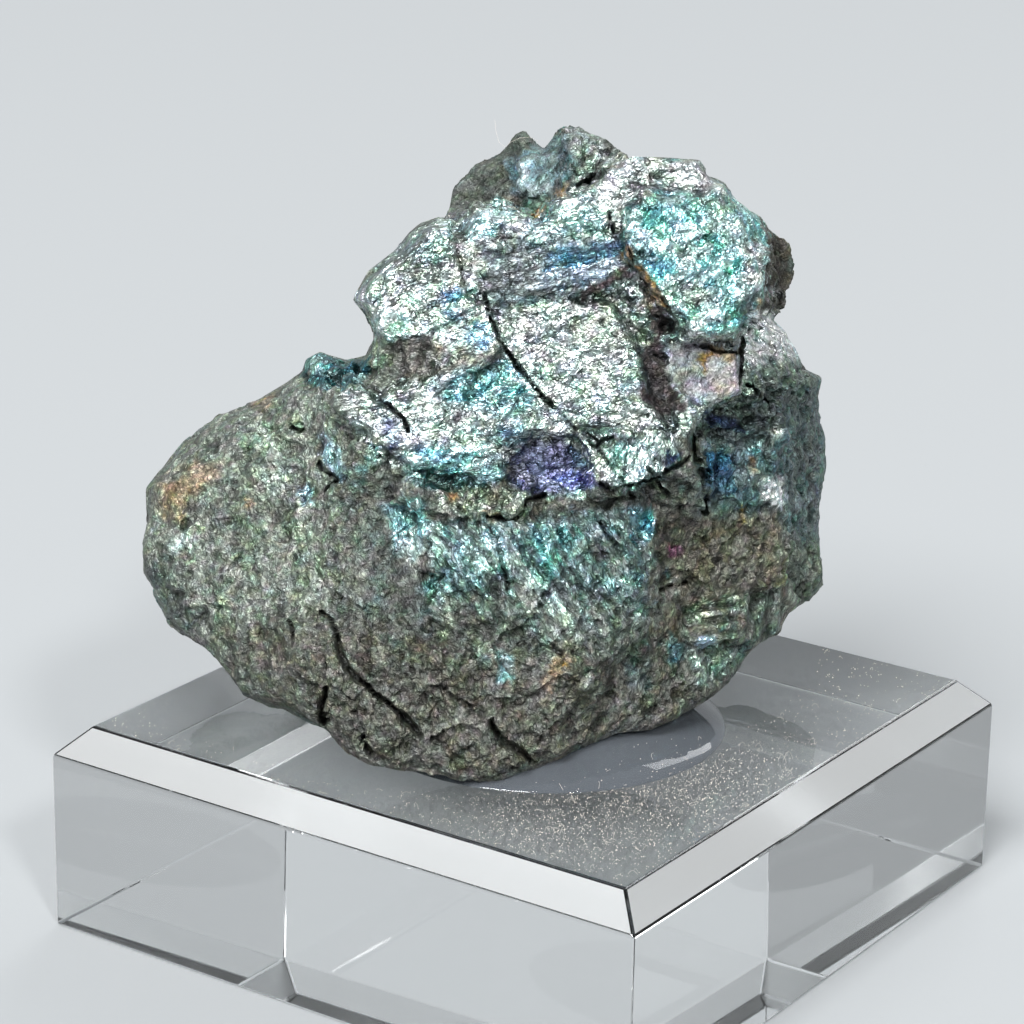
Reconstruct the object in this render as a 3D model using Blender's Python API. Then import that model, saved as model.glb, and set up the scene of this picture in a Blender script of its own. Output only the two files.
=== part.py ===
"""Chalcocite on a clear display block.

A rough lump of chalcocite stands on a flat spot of its underside, held by a pad of clear glue,
on a square acrylic block. Metres, +Z up. The origin is the middle of the block's underside, and
the block's sides run along X and Y.
"""

import math

import bmesh
import bpy
import numpy as np
from mathutils import Vector, kdtree, noise
from mathutils.bvhtree import BVHTree

MM = 0.001

# The acrylic block
BLOCK_SIDE = 38.0 * MM
BLOCK_THICKNESS = 11.8 * MM
BLOCK_BEVEL = 1.6 * MM

# The clearance between pieces that touch
GAP = 0.3 * MM

# The side that the stone is displayed from, and the distance that its outline is read from
DISPLAY_AZIMUTH = math.radians(34.46)
DISPLAY_TILT = math.radians(19.02)
VIEW_DISTANCE = 197.4 * MM
VIEW_AXIS = (-1.42 * MM, 10.64 * MM)

# The stone: the middle of its outline, and how it rests
STONE_MIDDLE = (-2.2 * MM, 14.1 * MM)
STONE_SEGMENTS = 80
STONE_GRAIN = 0.3 * MM
STONE_TRIANGLES = 7800
FRONT_DEPTH = 11.3 * MM
BACK_DEPTH = -13.6 * MM
BACK_LEAN = 0.32
BACK_STEEPNESS = 0.8
BACK_FULLNESS = 0.6
BACK_SMOOTHING = 14
FLAT_SPOT = (1.5 * MM, -5.1 * MM)
FLAT_SPOT_RADIUS = 6.3 * MM
FLAT_SPOT_RISE = 0.3
SEED = 29

# The relief: which faces are calm and by how much, and how near the outline it fades
CALM_FACES = ("plate", "turquoise_block", "lilac_facet", "streaked_facet")
PLATE_CALM = 0.7
FRONT_CALM = 0.35
OUTLINE_MARGIN = 1.2 * MM

# The broken facets: their spacing, how far they lean and their greatest height, in front and behind
FACET_SPACING = 2.4 * MM
FACET_LEAN = 0.17
FACET_LIMIT = 0.22 * MM
BACK_FACET_SPACING = 7.5 * MM
BACK_FACET_LEAN = 0.34
BACK_FACET_LIMIT = 1.4 * MM
LUMP_SIZE = 2.2 * MM
LUMP_HEIGHT = 0.18 * MM

# The glue pad
GLUE_MIDDLE = (1.3 * MM, -3.0 * MM)
GLUE_RADIUS = (11.0 * MM, 10.7 * MM)
GLUE_HEIGHT = 2.3 * MM
GLUE_EDGE = 0.45 * MM
GLUE_THINNEST = 0.28 * MM
GLUE_OUTER_SHARE = 0.97
GLUE_INNER_SHARE = 0.5
GLUE_STEP = 0.01
GLUE_SPOKES = 40
GLUE_RINGS = 5

# The outline of the stone from the display side, in millimetres from the middle of the block's top:
# right, up, toward the viewer, and the rounding of the front edge there
OUTLINE = [
    (16.1, 13.3, -6.0, 3.0), (16.0, 15.0, -6.0, 3.0), (15.6, 16.4, -6.0, 3.0), (15.5, 17.6, -5.5, 2.0),
    (15.7, 18.4, -5.0, 1.5), (14.8, 18.8, -3.0, 1.0), (14.3, 19.9, -1.0, 0.8), (13.6, 21.0, 1.0, 0.8),
    (12.8, 21.7, 1.0, 0.8), (13.7, 22.4, -3.0, 1.0), (13.8, 23.2, -3.5, 1.5), (14.2, 24.3, -4.5, 2.0),
    (14.2, 25.0, -4.5, 2.0), (13.9, 26.0, -4.5, 2.0), (12.8, 26.7, -4.0, 2.0), (12.2, 27.4, -3.0, 1.5),
    (11.6, 27.7, 4.0, 0.8), (10.9, 28.2, 6.0, 0.8), (10.4, 28.8, 7.0, 0.8), (10.1, 29.2, 7.5, 0.8),
    (9.2, 29.6, 8.0, 0.8), (8.7, 30.4, 8.5, 0.8), (6.8, 30.5, 9.0, 0.8), (5.0, 30.5, 9.0, 0.8),
    (4.1, 31.0, -2.0, 1.5), (3.3, 31.6, -3.0, 1.5), (2.5, 31.8, -3.5, 1.5), (1.5, 32.5, -4.5, 1.5),
    (0.7, 32.2, -4.5, 1.5), (0.0, 31.0, -4.5, 1.0), (-0.5, 31.4, -5.0, 1.0), (-1.0, 32.1, -5.5, 1.5),
    (-1.6, 31.9, -5.5, 1.5), (-2.1, 31.1, -5.0, 1.5), (-3.7, 30.0, -4.5, 2.0), (-4.9, 28.7, -4.0, 2.0),
    (-5.1, 27.6, -3.0, 2.0), (-5.4, 27.1, 5.0, 0.8), (-6.8, 26.6, 6.0, 0.8), (-7.5, 26.0, 6.5, 0.8),
    (-8.1, 25.1, 7.0, 0.8), (-9.6, 23.9, 7.0, 0.8), (-10.4, 22.4, 7.5, 0.8), (-9.7, 21.6, 7.0, 0.8),
    (-9.3, 20.4, 6.0, 0.8), (-9.7, 19.2, 4.0, 0.8), (-10.9, 18.9, 3.0, 1.0), (-11.8, 19.1, 2.5, 1.0),
    (-12.3, 19.3, 2.5, 1.0), (-13.0, 18.9, 2.5, 1.0), (-13.2, 18.2, 2.5, 1.0), (-14.1, 17.6, 2.0, 2.0),
    (-15.5, 16.7, 2.0, 3.0), (-17.8, 15.8, 2.0, 4.0), (-19.8, 14.2, 2.5, 5.0), (-20.9, 12.8, 3.0, 5.0),
    (-21.8, 11.6, 4.0, 5.0), (-21.8, 10.1, 4.5, 5.0), (-22.1, 8.4, 5.0, 5.0), (-22.0, 6.8, 5.5, 5.0),
    (-21.0, 5.1, 6.0, 5.0), (-20.4, 4.0, 6.5, 5.0), (-18.4, 2.7, 7.0, 4.0), (-17.2, 1.4, 7.5, 4.0),
    (-16.3, 0.3, 8.0, 3.0), (-14.8, -0.4, 8.5, 3.0), (-14.0, -0.5, 8.8, 3.0), (-12.8, -1.1, 9.3, 2.5),
    (-11.6, -1.7, 9.8, 2.5), (-10.4, -3.0, 10.3, 2.5), (-8.9, -3.8, 10.8, 2.5),
    (-6.9, -4.2, 11.2, 2.5), (-4.4, -4.6, 11.6, 2.5), (-1.6, -4.4, 11.4, 2.5), (0.4, -3.6, 10.8, 2.5),
    (2.6, -2.5, 9.8, 2.5), (4.6, -1.5, 8.8, 2.5), (6.5, -1.3, 7.9, 2.5), (8.2, -0.5, 7.0, 2.5),
    (9.9, 0.6, 5.5, 2.5), (11.1, 1.7, 4.0, 2.0), (11.9, 3.0, 2.5, 2.0), (13.7, 4.1, 0.0, 2.0),
    (14.1, 5.2, -1.0, 2.0), (15.3, 5.9, -2.5, 2.0), (16.1, 7.0, -3.5, 2.0), (15.9, 8.8, -4.0, 2.5),
    (15.8, 10.5, -4.5, 3.0), (15.9, 12.2, -5.5, 3.0),
]

# The faces of the front, each laid over the ones before: its depth toward the viewer at its middle,
# how that grows to the right and upward, how wide its edge is, and its outline (right, up)
FACES = {
    "left_lobe": (8.5, 0.25, -0.22, 5, [
        (-23.5, 20.5), (-11.8, 20.1), (-10.9, 15.6), (-11.3, 10.0), (-11.5, 3.3), (-13.0, -4.0),
        (-23.1, -4.2)]),
    "foot": (12.6, -0.02, 0.12, 5, [
        (-13.2, 3.3), (3.6, 3.6), (5.9, 0.2), (1.5, -5.4), (-13.0, -5.7)]),
    "right_flank": (6.6, -0.62, 0.08, 5, [
        (5.7, 11.4), (9.1, 11.5), (14.6, 17.2), (17.4, 17.2), (17.6, 3.8), (12.6, 2.0), (9.3, -1.4),
        (3.7, -3.7), (2.0, -2.1), (4.7, 3.6)]),
    "fan_face": (12.5, -0.1, -0.02, 1.6, [
        (-6.6, 10.1), (-1.0, 9.9), (5.7, 10.9), (6.6, 8.1), (4.7, 3.6), (1.4, 3.0), (-3.7, 4.6)]),
    "dusty_centre": (11.3, 0.05, -0.05, 1.6, [
        (-11.3, 10.6), (-6.6, 11.2), (-5.9, 5.6), (-6.5, 3.4), (-10.7, 5.0)]),
    "plate": (10.6, -0.03, -0.17, 0.5, [
        (-5.4, 27.5), (-11.3, 23.5), (-10.7, 20.7), (-9.3, 20.1), (-9.4, 17.6), (-11.2, 17.0),
        (-11.4, 16.2), (-7.7, 13.4), (-2.1, 11.9), (1.2, 14.7), (5.0, 12.1), (9.0, 16.0), (11.5, 17.1),
        (12.5, 22.7), (12.4, 27.5), (10.5, 28.9), (8.8, 31.1), (4.8, 31.0), (3.5, 29.6), (1.0, 28.3),
        (-0.4, 27.2), (-3.5, 27.8)]),
    "plate_left": (11.0, 0.15, -0.17, 0.4, [
        (-5.4, 27.5), (-4.9, 25.8), (-4.5, 23.0), (-2.8, 21.9), (-2.4, 20.0), (-3.3, 18.0),
        (-5.0, 15.7), (-7.2, 15.1), (-8.9, 16.8), (-9.4, 17.6), (-6.1, 17.7), (-6.7, 20.5),
        (-9.3, 20.2), (-11.0, 21.2), (-11.0, 23.5), (-6.9, 27.2)]),
    "olive_patch": (8.4, 0.3, -0.1, 0.6, [
        (-10.1, 20.2), (-6.2, 20.3), (-5.9, 18.2), (-8.9, 17.2), (-10.1, 18.7)]),
    "turquoise_block": (10.9, -0.12, -0.17, 0.3, [
        (4.5, 27.4), (5.4, 28.5), (8.8, 28.8), (10.5, 28.9), (12.4, 27.7), (12.5, 22.7), (11.5, 20.9),
        (8.4, 20.7), (7.1, 22.3), (5.8, 24.0), (4.7, 25.4)]),
    "dark_pit": (8.6, 0, 0, 0.5, [
        (2.2, 22.5), (4.1, 24.0), (5.5, 24.3), (6.5, 22.6), (7.9, 20.3), (7.2, 17.9), (7.5, 15.7),
        (6.5, 16.8), (5.7, 19.8), (4.0, 22.6)]),
    "lilac_facet": (9.6, -0.15, -0.35, 0.3, [
        (7.2, 20.1), (8.9, 20.6), (11.5, 20.2), (11.3, 17.4), (9.8, 16.7), (8.4, 17.0), (7.2, 17.9)]),
    "streaked_facet": (6.6, -0.9, -0.3, 0.3, [
        (11.2, 20.6), (11.7, 22.1), (13.1, 22.5), (15.2, 19.3), (14.9, 18.6), (13.5, 18.0),
        (11.3, 17.7)]),
    "side_step": (6.6, -0.5, -0.1, 0.5, [
        (11.3, 17.6), (13.5, 17.9), (15.0, 18.4), (14.6, 16.1), (13.5, 14.9), (11.3, 15.4),
        (9.0, 16.0), (9.8, 16.7)]),
    "blue_hollow": (6.2, -0.5, 0.05, 0.6, [
        (9.3, 15.7), (13.8, 14.9), (13.8, 11.6), (9.8, 10.8)]),
    "right_side": (-1.0, -1.2, 0.05, 1.2, [
        (13.7, 18.0), (16.8, 18.3), (17.0, 8.5), (14.2, 9.3)]),
    "fan_block": (12.1, -0.22, -0.1, 0.4, [
        (2.3, 15.3), (7.2, 15.4), (9.0, 15.7), (8.9, 13.2), (5.7, 12.2), (5.0, 12.0), (2.6, 11.9)]),
    "violet_patch": (11.5, -0.1, -0.12, 0.4, [
        (-1.9, 14.8), (2.4, 14.9), (2.8, 11.8), (-1.6, 11.9)]),
    "ledge": (13.0, -0.02, -0.4, 0.5, [
        (-7.8, 12.9), (-5.5, 12.2), (-0.3, 12.2), (-0.4, 11.3), (-1.0, 10.3), (-5.5, 10.2),
        (-8.0, 11.2)]),
    "ridged_facet": (6.3, -0.4, -0.45, 0.4, [
        (8.1, 5.8), (11.5, 6.4), (11.9, 3.7), (8.7, 3.2)]),
    "ribbed_facet": (3.3, -0.6, -0.2, 0.4, [
        (11.8, 6.2), (14.8, 7.2), (14.8, 5.7), (14.1, 4.2), (12.1, 3.4)]),
    "mint_flake": (5.0, -0.45, 0.1, 0.5, [
        (8.7, 3.1), (11.9, 3.6), (11.8, 2.1), (9.9, 0.9)]),
    "right_bump": (-0.2, -0.9, 0, 0.8, [
        (14.0, 9.3), (16.4, 9.4), (16.5, 6.6), (15.1, 5.7), (14.1, 6.0)]),
    "knob": (-3.4, 0.05, -0.3, 0.5, [
        (-5.7, 27.1), (-5.2, 29.4), (-2.5, 32.0), (-1.1, 33.2), (0.1, 31.8), (1.4, 33.5), (4.5, 31.6),
        (5.1, 30.6), (3.5, 29.7), (1.0, 28.3), (-0.4, 27.2), (-2.1, 27.4), (-3.5, 27.8), (-5.2, 27.2)]),
    "knob_slab": (-2.2, 0.1, -0.2, 0.4, [
        (-1.8, 30.3), (-0.2, 30.9), (0.9, 31.2), (1.1, 28.7), (0.1, 28.1), (-1.3, 28.4)]),
    "knob_hollow": (-4.6, 0, 0, 0.4, [
        (-1.6, 28.4), (0.1, 28.6), (0.1, 27.4), (-1.3, 27.4)]),
    "knob_flake": (-2.0, -0.1, -0.25, 0.4, [
        (1.2, 32.1), (4.0, 31.1), (4.5, 30.5), (2.5, 29.3), (1.2, 28.7)]),
    "side_piece": (-3.6, -0.3, -0.1, 0.4, [
        (12.4, 27.6), (14.7, 27.0), (14.8, 22.8), (14.0, 21.8), (12.7, 22.0), (12.5, 23.3)]),
    "lobe_knob": (5.4, 0.05, -0.3, 0.6, [
        (-13.7, 19.5), (-10.6, 19.4), (-9.4, 18.3), (-10.6, 17.4), (-13.4, 17.5)]),
}

# Cracks: half width, depth and route (right, up)
CRACKS = [
    (0.45, 0.9, [(-5.1, 26.8), (-4.5, 23.0), (-2.8, 21.8), (-2.4, 20.0), (-0.5, 18.3), (1.2, 16.4),
               (2.9, 14.7), (5.0, 12.1)]),
    (0.7, 2.2, [(8.8, 16.0), (9.0, 14.3), (9.2, 12.6), (9.4, 10.7)]),
    (0.45, 1.0, [(-9.2, 17.1), (-8.1, 16.1), (-7.3, 15.1)]),
    (0.5, 1.1, [(-11.0, 3.3), (-10.6, 1.9), (-9.2, 0.5), (-7.5, -0.8), (-6.4, -1.9)]),
    (0.6, 1.2, [(-11.9, 0.5), (-11.8, -1.3)]),
    (0.5, 0.9, [(-2.3, -1.1), (-1.6, -2.1), (-0.2, -3.4)]),
    (0.4, 0.7, [(5.0, 12.1), (7.9, 13.1)]),
]

# Pits: radius, depth and middle (right, up)
PITS = [
    (0.7, 0.8, (-13.5, 15.0)),
    (0.6, 0.7, (-16.1, 10.9)),
    (1.0, 1.3, (-11.6, 12.8)),
    (0.8, 1.0, (-9.3, -2.4)),
    (0.7, 0.8, (-19.8, 5.6)),
]


def clear_scene():
    """Remove what the scene starts with."""
    for thing in list(bpy.data.objects):
        bpy.data.objects.remove(thing, do_unlink=True)


def material(name, colour, roughness, metallic=0.0, transmission=0.0, ior=1.5):
    """A Principled material with the real finish's values."""
    mat = bpy.data.materials.new(name)
    mat.use_nodes = True
    shader = mat.node_tree.nodes["Principled BSDF"]
    shader.inputs["Base Color"].default_value = (*colour, 1.0)
    shader.inputs["Roughness"].default_value = roughness
    shader.inputs["Metallic"].default_value = metallic
    shader.inputs["Transmission Weight"].default_value = transmission
    shader.inputs["IOR"].default_value = ior
    return mat


def add_object(name, bm, mat, place=(0.0, 0.0, 0.0)):
    """Put a bmesh in the scene as a named object with one material."""
    mesh = bpy.data.meshes.new(name)
    bm.to_mesh(mesh)
    bm.free()
    mesh.materials.append(mat)
    obj = bpy.data.objects.new(name, mesh)
    obj.location = place
    bpy.context.scene.collection.objects.link(obj)
    return obj


def display_axes():
    """The directions right, up and toward the viewer, as rows."""
    right = np.array((math.cos(DISPLAY_AZIMUTH), math.sin(DISPLAY_AZIMUTH), 0.0))
    away = np.array((-math.sin(DISPLAY_AZIMUTH), math.cos(DISPLAY_AZIMUTH), 0.0))
    vertical = np.array((0.0, 0.0, 1.0))
    up = away * math.sin(DISPLAY_TILT) + vertical * math.cos(DISPLAY_TILT)
    toward = vertical * math.sin(DISPLAY_TILT) - away * math.cos(DISPLAY_TILT)
    return np.stack((right, up, toward))


def from_display(right, up, toward):
    """Block-top coordinates of points given as right, up and toward the viewer."""
    return np.stack((right, up, toward), axis=1) @ display_axes()


def segment_distance(u, v, start, end):
    """Distance of each point (u, v) from one straight stretch."""
    du = end[0] - start[0]
    dv = end[1] - start[1]
    along = ((u - start[0]) * du + (v - start[1]) * dv) / (du * du + dv * dv)
    along = np.clip(along, 0.0, 1.0)
    return np.hypot(u - start[0] - along * du, v - start[1] - along * dv)


def route_distance(u, v, route):
    """Distance of each point from a route of straight stretches."""
    nearest = np.full(u.shape, 1.0)
    for start, end in zip(route, route[1:]):
        nearest = np.minimum(nearest, segment_distance(u, v, start, end))
    return nearest


def inside_distance(u, v, outline):
    """Distance of each point inside a closed outline from its edge, negative outside."""
    nearest = route_distance(u, v, list(outline) + [outline[0]])
    inside = np.zeros(u.shape, dtype=bool)
    for (u0, v0), (u1, v1) in zip(outline, list(outline[1:]) + [outline[0]]):
        if v0 == v1:
            continue
        crosses = (v0 > v) != (v1 > v)
        inside ^= crosses & (u < u0 + (v - v0) * (u1 - u0) / (v1 - v0))
    return np.where(inside, nearest, -nearest)


def smooth_step(x):
    """0 below 0, 1 above 1 and a smooth ramp between."""
    x = np.clip(x, 0.0, 1.0)
    return x * x * (3.0 - 2.0 * x)


def rim_at(angle):
    """The outline's radius about the stone's middle, its depth and its rounding at each angle."""
    rim = np.array(OUTLINE) * MM
    u = rim[:, 0] - STONE_MIDDLE[0]
    v = rim[:, 1] - STONE_MIDDLE[1]
    turn = np.unwrap(np.arctan2(v, u))
    start = turn[0]
    angle = (angle - start) % (2 * math.pi)
    turn = np.append(turn - start, 2 * math.pi)
    closed = np.vstack((rim, rim[:1]))
    u = np.append(u, u[0])
    v = np.append(v, v[0])
    index = np.clip(np.searchsorted(turn, angle, side="right") - 1, 0, len(rim) - 1)
    ray_u = np.cos(angle + start)
    ray_v = np.sin(angle + start)
    du = u[index + 1] - u[index]
    dv = v[index + 1] - v[index]
    radius = (u[index] * dv - v[index] * du) / (ray_u * dv - ray_v * du)
    along = np.hypot(ray_u * radius - u[index], ray_v * radius - v[index]) / np.hypot(du, dv)
    depth = closed[index, 2] + along * (closed[index + 1, 2] - closed[index, 2])
    rounding = closed[index, 3] + along * (closed[index + 1, 3] - closed[index, 3])
    return radius, depth, rounding


def front_depth(u, v):
    """Depth of the front toward the viewer: the faces laid over each other, then cracks and pits."""
    depth = np.full(u.shape, FRONT_DEPTH)
    for toward, lean_right, lean_up, edge, outline in FACES.values():
        outline = np.array(outline) * MM
        middle = outline.mean(axis=0)
        face = toward * MM + lean_right * (u - middle[0]) + lean_up * (v - middle[1])
        weight = smooth_step(inside_distance(u, v, outline) / (edge * MM) + 0.5)
        depth = depth + (face - depth) * weight
    for half_width, crack_depth, route in CRACKS:
        near = route_distance(u, v, np.array(route) * MM) / (half_width * MM)
        depth -= crack_depth * MM * smooth_step(1.0 - near)
    for radius, pit_depth, middle in PITS:
        near = np.hypot(u - middle[0] * MM, v - middle[1] * MM) / (radius * MM)
        depth -= pit_depth * MM * smooth_step(1.25 - near)
    return depth


def low_outline():
    """The outline's radius at each degree with its bumps taken off: the form of the stone behind it."""
    radius = rim_at(np.radians(np.arange(360)))[0]
    turns = range(-BACK_SMOOTHING, BACK_SMOOTHING + 1)
    lowest = np.min([np.roll(radius, turn) for turn in turns], axis=0)
    return np.mean([np.roll(lowest, turn) for turn in turns], axis=0)


def stone_points(directions):
    """Place each direction of a unit ball on the stone, in block-top coordinates."""
    x, away, z = directions.T
    spread = np.arccos(np.clip(-away, -1.0, 1.0)) / (math.pi / 2)
    angle = np.arctan2(z, x)
    radius, rim_depth, rounding = rim_at(angle)

    u = STONE_MIDDLE[0] + np.minimum(spread, 1.0) * radius * np.cos(angle)
    v = STONE_MIDDLE[1] + np.minimum(spread, 1.0) * radius * np.sin(angle)
    rim_gap = np.maximum(inside_distance(u, v, np.array(OUTLINE)[:, :2] * MM), 0.0)
    near_rim = np.clip(1.0 - rim_gap / rounding, 0.0, 1.0)
    swell = np.sqrt(1.0 - near_rim * near_rim)
    front_side = rim_depth + (front_depth(u, v) - rim_depth) * swell

    behind = np.clip(spread - 1.0, 0.0, 1.0) * math.pi / 2
    sunk = np.sin(behind) ** BACK_STEEPNESS
    low = np.interp(angle, np.radians(np.arange(360)), low_outline(), period=2 * math.pi)
    back_radius = (radius + (low - radius) * smooth_step(sunk / 0.5)) * np.cos(behind) ** BACK_FULLNESS
    back_u = STONE_MIDDLE[0] + back_radius * np.cos(angle)
    back_v = STONE_MIDDLE[1] + back_radius * np.sin(angle)
    back_side = rim_depth + (BACK_DEPTH + BACK_LEAN * back_v - rim_depth) * sunk

    front = spread <= 1.0
    u = np.where(front, u, back_u)
    v = np.where(front, v, back_v)
    depth = np.where(front, front_side, back_side)
    drawn_in = (VIEW_DISTANCE - depth) / VIEW_DISTANCE
    right = VIEW_AXIS[0] + (u - VIEW_AXIS[0]) * drawn_in
    up = VIEW_AXIS[1] + (v - VIEW_AXIS[1]) * drawn_in
    return from_display(right, up, depth)


def facets(points, spacing, lean, limit, seed):
    """Relief of a broken face: flat facets about the spacing apart, each leaning its own way."""
    rng = np.random.default_rng(seed)
    low = points.min(axis=0) - spacing
    high = points.max(axis=0) + spacing
    count = int(np.prod((high - low) / spacing))
    seeds = rng.uniform(low, high, (count, 3))
    leans = rng.normal(0.0, lean, (count, 3))
    tree = kdtree.KDTree(count)
    for index, seed_point in enumerate(seeds):
        tree.insert(seed_point, index)
    tree.balance()
    nearest = np.array([tree.find(point)[1] for point in points])
    relief = np.einsum("ij,ij->i", points - seeds[nearest], leans[nearest])
    return np.clip(relief, -limit, limit)


def lumps(points, size):
    """Smooth lumps of the given size, from -1 to 1."""
    return np.array([noise.fractal(Vector(p / size), 0.9, 2.1, 3) for p in points])


def seen_at(points):
    """Where each point lies on the plane of the outline, seen from the display side."""
    right, up, toward = (points @ axis for axis in display_axes())
    drawn_in = (VIEW_DISTANCE - toward) / VIEW_DISTANCE
    return VIEW_AXIS[0] + (right - VIEW_AXIS[0]) / drawn_in, VIEW_AXIS[1] + (up - VIEW_AXIS[1]) / drawn_in


def calm(u, v, facing):
    """How smooth the stone is at each point: 1 on the flaky plate that faces the viewer."""
    plate = np.zeros(u.shape)
    for name in CALM_FACES:
        outline = np.array(FACES[name][4]) * MM
        plate = np.maximum(plate, smooth_step(inside_distance(u, v, outline) / MM + 0.7))
    return plate * smooth_step(facing * 2.0)


def roughen(points, normals):
    """Break the faces up into facets and lumps, coarser behind than in front, kept off the outline."""
    facing = normals @ display_axes()[2]
    u, v = seen_at(points)
    behind = smooth_step(0.5 - 1.4 * facing)
    strength = (1.0 - PLATE_CALM * calm(u, v, facing)) * (1.0 - FRONT_CALM * smooth_step(facing * 2.0))
    small = facets(points, FACET_SPACING, FACET_LEAN, FACET_LIMIT, SEED)
    large = facets(points, BACK_FACET_SPACING, BACK_FACET_LEAN, BACK_FACET_LIMIT, SEED + 1)
    relief = (small + LUMP_HEIGHT * lumps(points, LUMP_SIZE)) * strength + large * behind
    room = np.maximum(inside_distance(u, v, np.array(OUTLINE)[:, :2] * MM), 0.0)
    relief *= smooth_step(room / OUTLINE_MARGIN + 0.25)
    return points + normals * np.minimum(relief, 0.7 * room)[:, None]


def rest_flat(points):
    """Lift what lies below the stone's flat spot, which rises gently around it."""
    out = np.hypot(points[:, 0] - FLAT_SPOT[0], points[:, 1] - FLAT_SPOT[1]) - FLAT_SPOT_RADIUS
    floor = GAP + FLAT_SPOT_RISE * np.maximum(out, 0.0)
    points[:, 2] = np.maximum(points[:, 2], floor)
    return points


def even_mesh(bm, size):
    """The same closed form with evenly spread faces of one size."""
    mesh = bpy.data.meshes.new("form")
    bm.to_mesh(mesh)
    bm.free()
    form = bpy.data.objects.new("form", mesh)
    bpy.context.scene.collection.objects.link(form)
    remesh = form.modifiers.new("even", "REMESH")
    remesh.mode = "VOXEL"
    remesh.voxel_size = size
    depsgraph = bpy.context.evaluated_depsgraph_get()
    evened = bpy.data.meshes.new_from_object(form.evaluated_get(depsgraph))
    bpy.data.objects.remove(form, do_unlink=True)
    return evened


def chalcocite(mat):
    """The stone: a ball of even squares, drawn out to the outline and its faces, then broken up."""
    bm = bmesh.new()
    bmesh.ops.create_cube(bm, size=2.0)
    bmesh.ops.subdivide_edges(bm, edges=bm.edges[:], cuts=STONE_SEGMENTS - 1, use_grid_fill=True)
    cube = np.array([vert.co[:] for vert in bm.verts])
    swollen = np.tan(cube * math.pi / 4)
    directions = swollen / np.linalg.norm(swollen, axis=1)[:, None]
    for vert, point in zip(bm.verts, rest_flat(stone_points(directions))):
        vert.co = point
    bmesh.ops.recalc_face_normals(bm, faces=bm.faces[:])

    evened = even_mesh(bm, STONE_GRAIN)
    points = np.array([vert.co[:] for vert in evened.vertices])
    normals = np.array([vert.normal[:] for vert in evened.vertices])
    points = rest_flat(roughen(points, normals))
    bm = bmesh.new()
    bm.from_mesh(evened)
    for vert, point in zip(bm.verts, points):
        vert.co = point
    bmesh.ops.triangulate(bm, faces=bm.faces[:])
    stone = add_object("chalcocite", bm, mat, (0.0, 0.0, BLOCK_THICKNESS))
    lighten = stone.modifiers.new("fewer_faces", "DECIMATE")
    lighten.decimate_type = "COLLAPSE"
    lighten.ratio = STONE_TRIANGLES / len(stone.data.polygons)
    return stone


def acrylic_base(mat):
    """The block, cut square, with its four top edges bevelled at 45 degrees."""
    bm = bmesh.new()
    bmesh.ops.create_cube(bm, size=1.0)
    bmesh.ops.scale(bm, vec=(BLOCK_SIDE, BLOCK_SIDE, BLOCK_THICKNESS), verts=bm.verts[:])
    bmesh.ops.translate(bm, vec=(0.0, 0.0, BLOCK_THICKNESS / 2), verts=bm.verts[:])
    top = [edge for edge in bm.edges if all(v.co.z > BLOCK_THICKNESS / 2 for v in edge.verts)]
    bmesh.ops.bevel(bm, geom=top, offset=BLOCK_BEVEL, segments=1, profile=0.5, affect="EDGES", material=-1)
    return add_object("acrylic_base", bm, mat)


def glue_pad(mat, stone):
    """The glue: a low dome round the stone's foot, open where the stone rests on the block."""
    depsgraph = bpy.context.evaluated_depsgraph_get()
    tree = BVHTree.FromObject(stone, depsgraph)

    def stone_above(x, y):
        hit = tree.ray_cast(Vector((x, y, -BLOCK_THICKNESS)), Vector((0.0, 0.0, 1.0)))
        return hit[0].z if hit[0] is not None else BLOCK_SIDE

    def top_at(angle, share):
        x = GLUE_MIDDLE[0] + GLUE_RADIUS[0] * share * math.cos(angle)
        y = GLUE_MIDDLE[1] + GLUE_RADIUS[1] * share * math.sin(angle)
        dome = GAP + GLUE_EDGE + (GLUE_HEIGHT - GLUE_EDGE) * math.sqrt(max(0.0, 1.0 - share ** 2.2))
        clear = min(stone_above(x + dx, y + dy) for dx in (-GAP, 0.0, GAP) for dy in (-GAP, 0.0, GAP))
        return x, y, min(dome, clear - GAP)

    bm = bmesh.new()
    spokes = []
    for step in range(GLUE_SPOKES):
        angle = 2 * math.pi * step / GLUE_SPOKES
        inner = GLUE_OUTER_SHARE
        while inner > GLUE_INNER_SHARE and top_at(angle, inner - GLUE_STEP)[2] > GAP + GLUE_THINNEST:
            inner -= GLUE_STEP
        spoke = []
        for ring in range(GLUE_RINGS + 1):
            x, y, z = top_at(angle, inner + (1.0 - inner) * ring / GLUE_RINGS)
            spoke.append((bm.verts.new((x, y, GAP)), bm.verts.new((x, y, z))))
        spokes.append(spoke)
    for spoke, following in zip(spokes, spokes[1:] + spokes[:1]):
        for ring in range(GLUE_RINGS):
            inner_bottom, inner_top = spoke[ring]
            outer_bottom, outer_top = spoke[ring + 1]
            next_bottom, next_top = following[ring]
            far_bottom, far_top = following[ring + 1]
            bm.faces.new((inner_top, outer_top, far_top, next_top))
            bm.faces.new((inner_bottom, next_bottom, far_bottom, outer_bottom))
        bm.faces.new((spoke[0][0], spoke[0][1], following[0][1], following[0][0]))
        bm.faces.new((spoke[-1][1], spoke[-1][0], following[-1][0], following[-1][1]))
    bmesh.ops.recalc_face_normals(bm, faces=bm.faces[:])
    return add_object("glue", bm, mat, (0.0, 0.0, BLOCK_THICKNESS))


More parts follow.
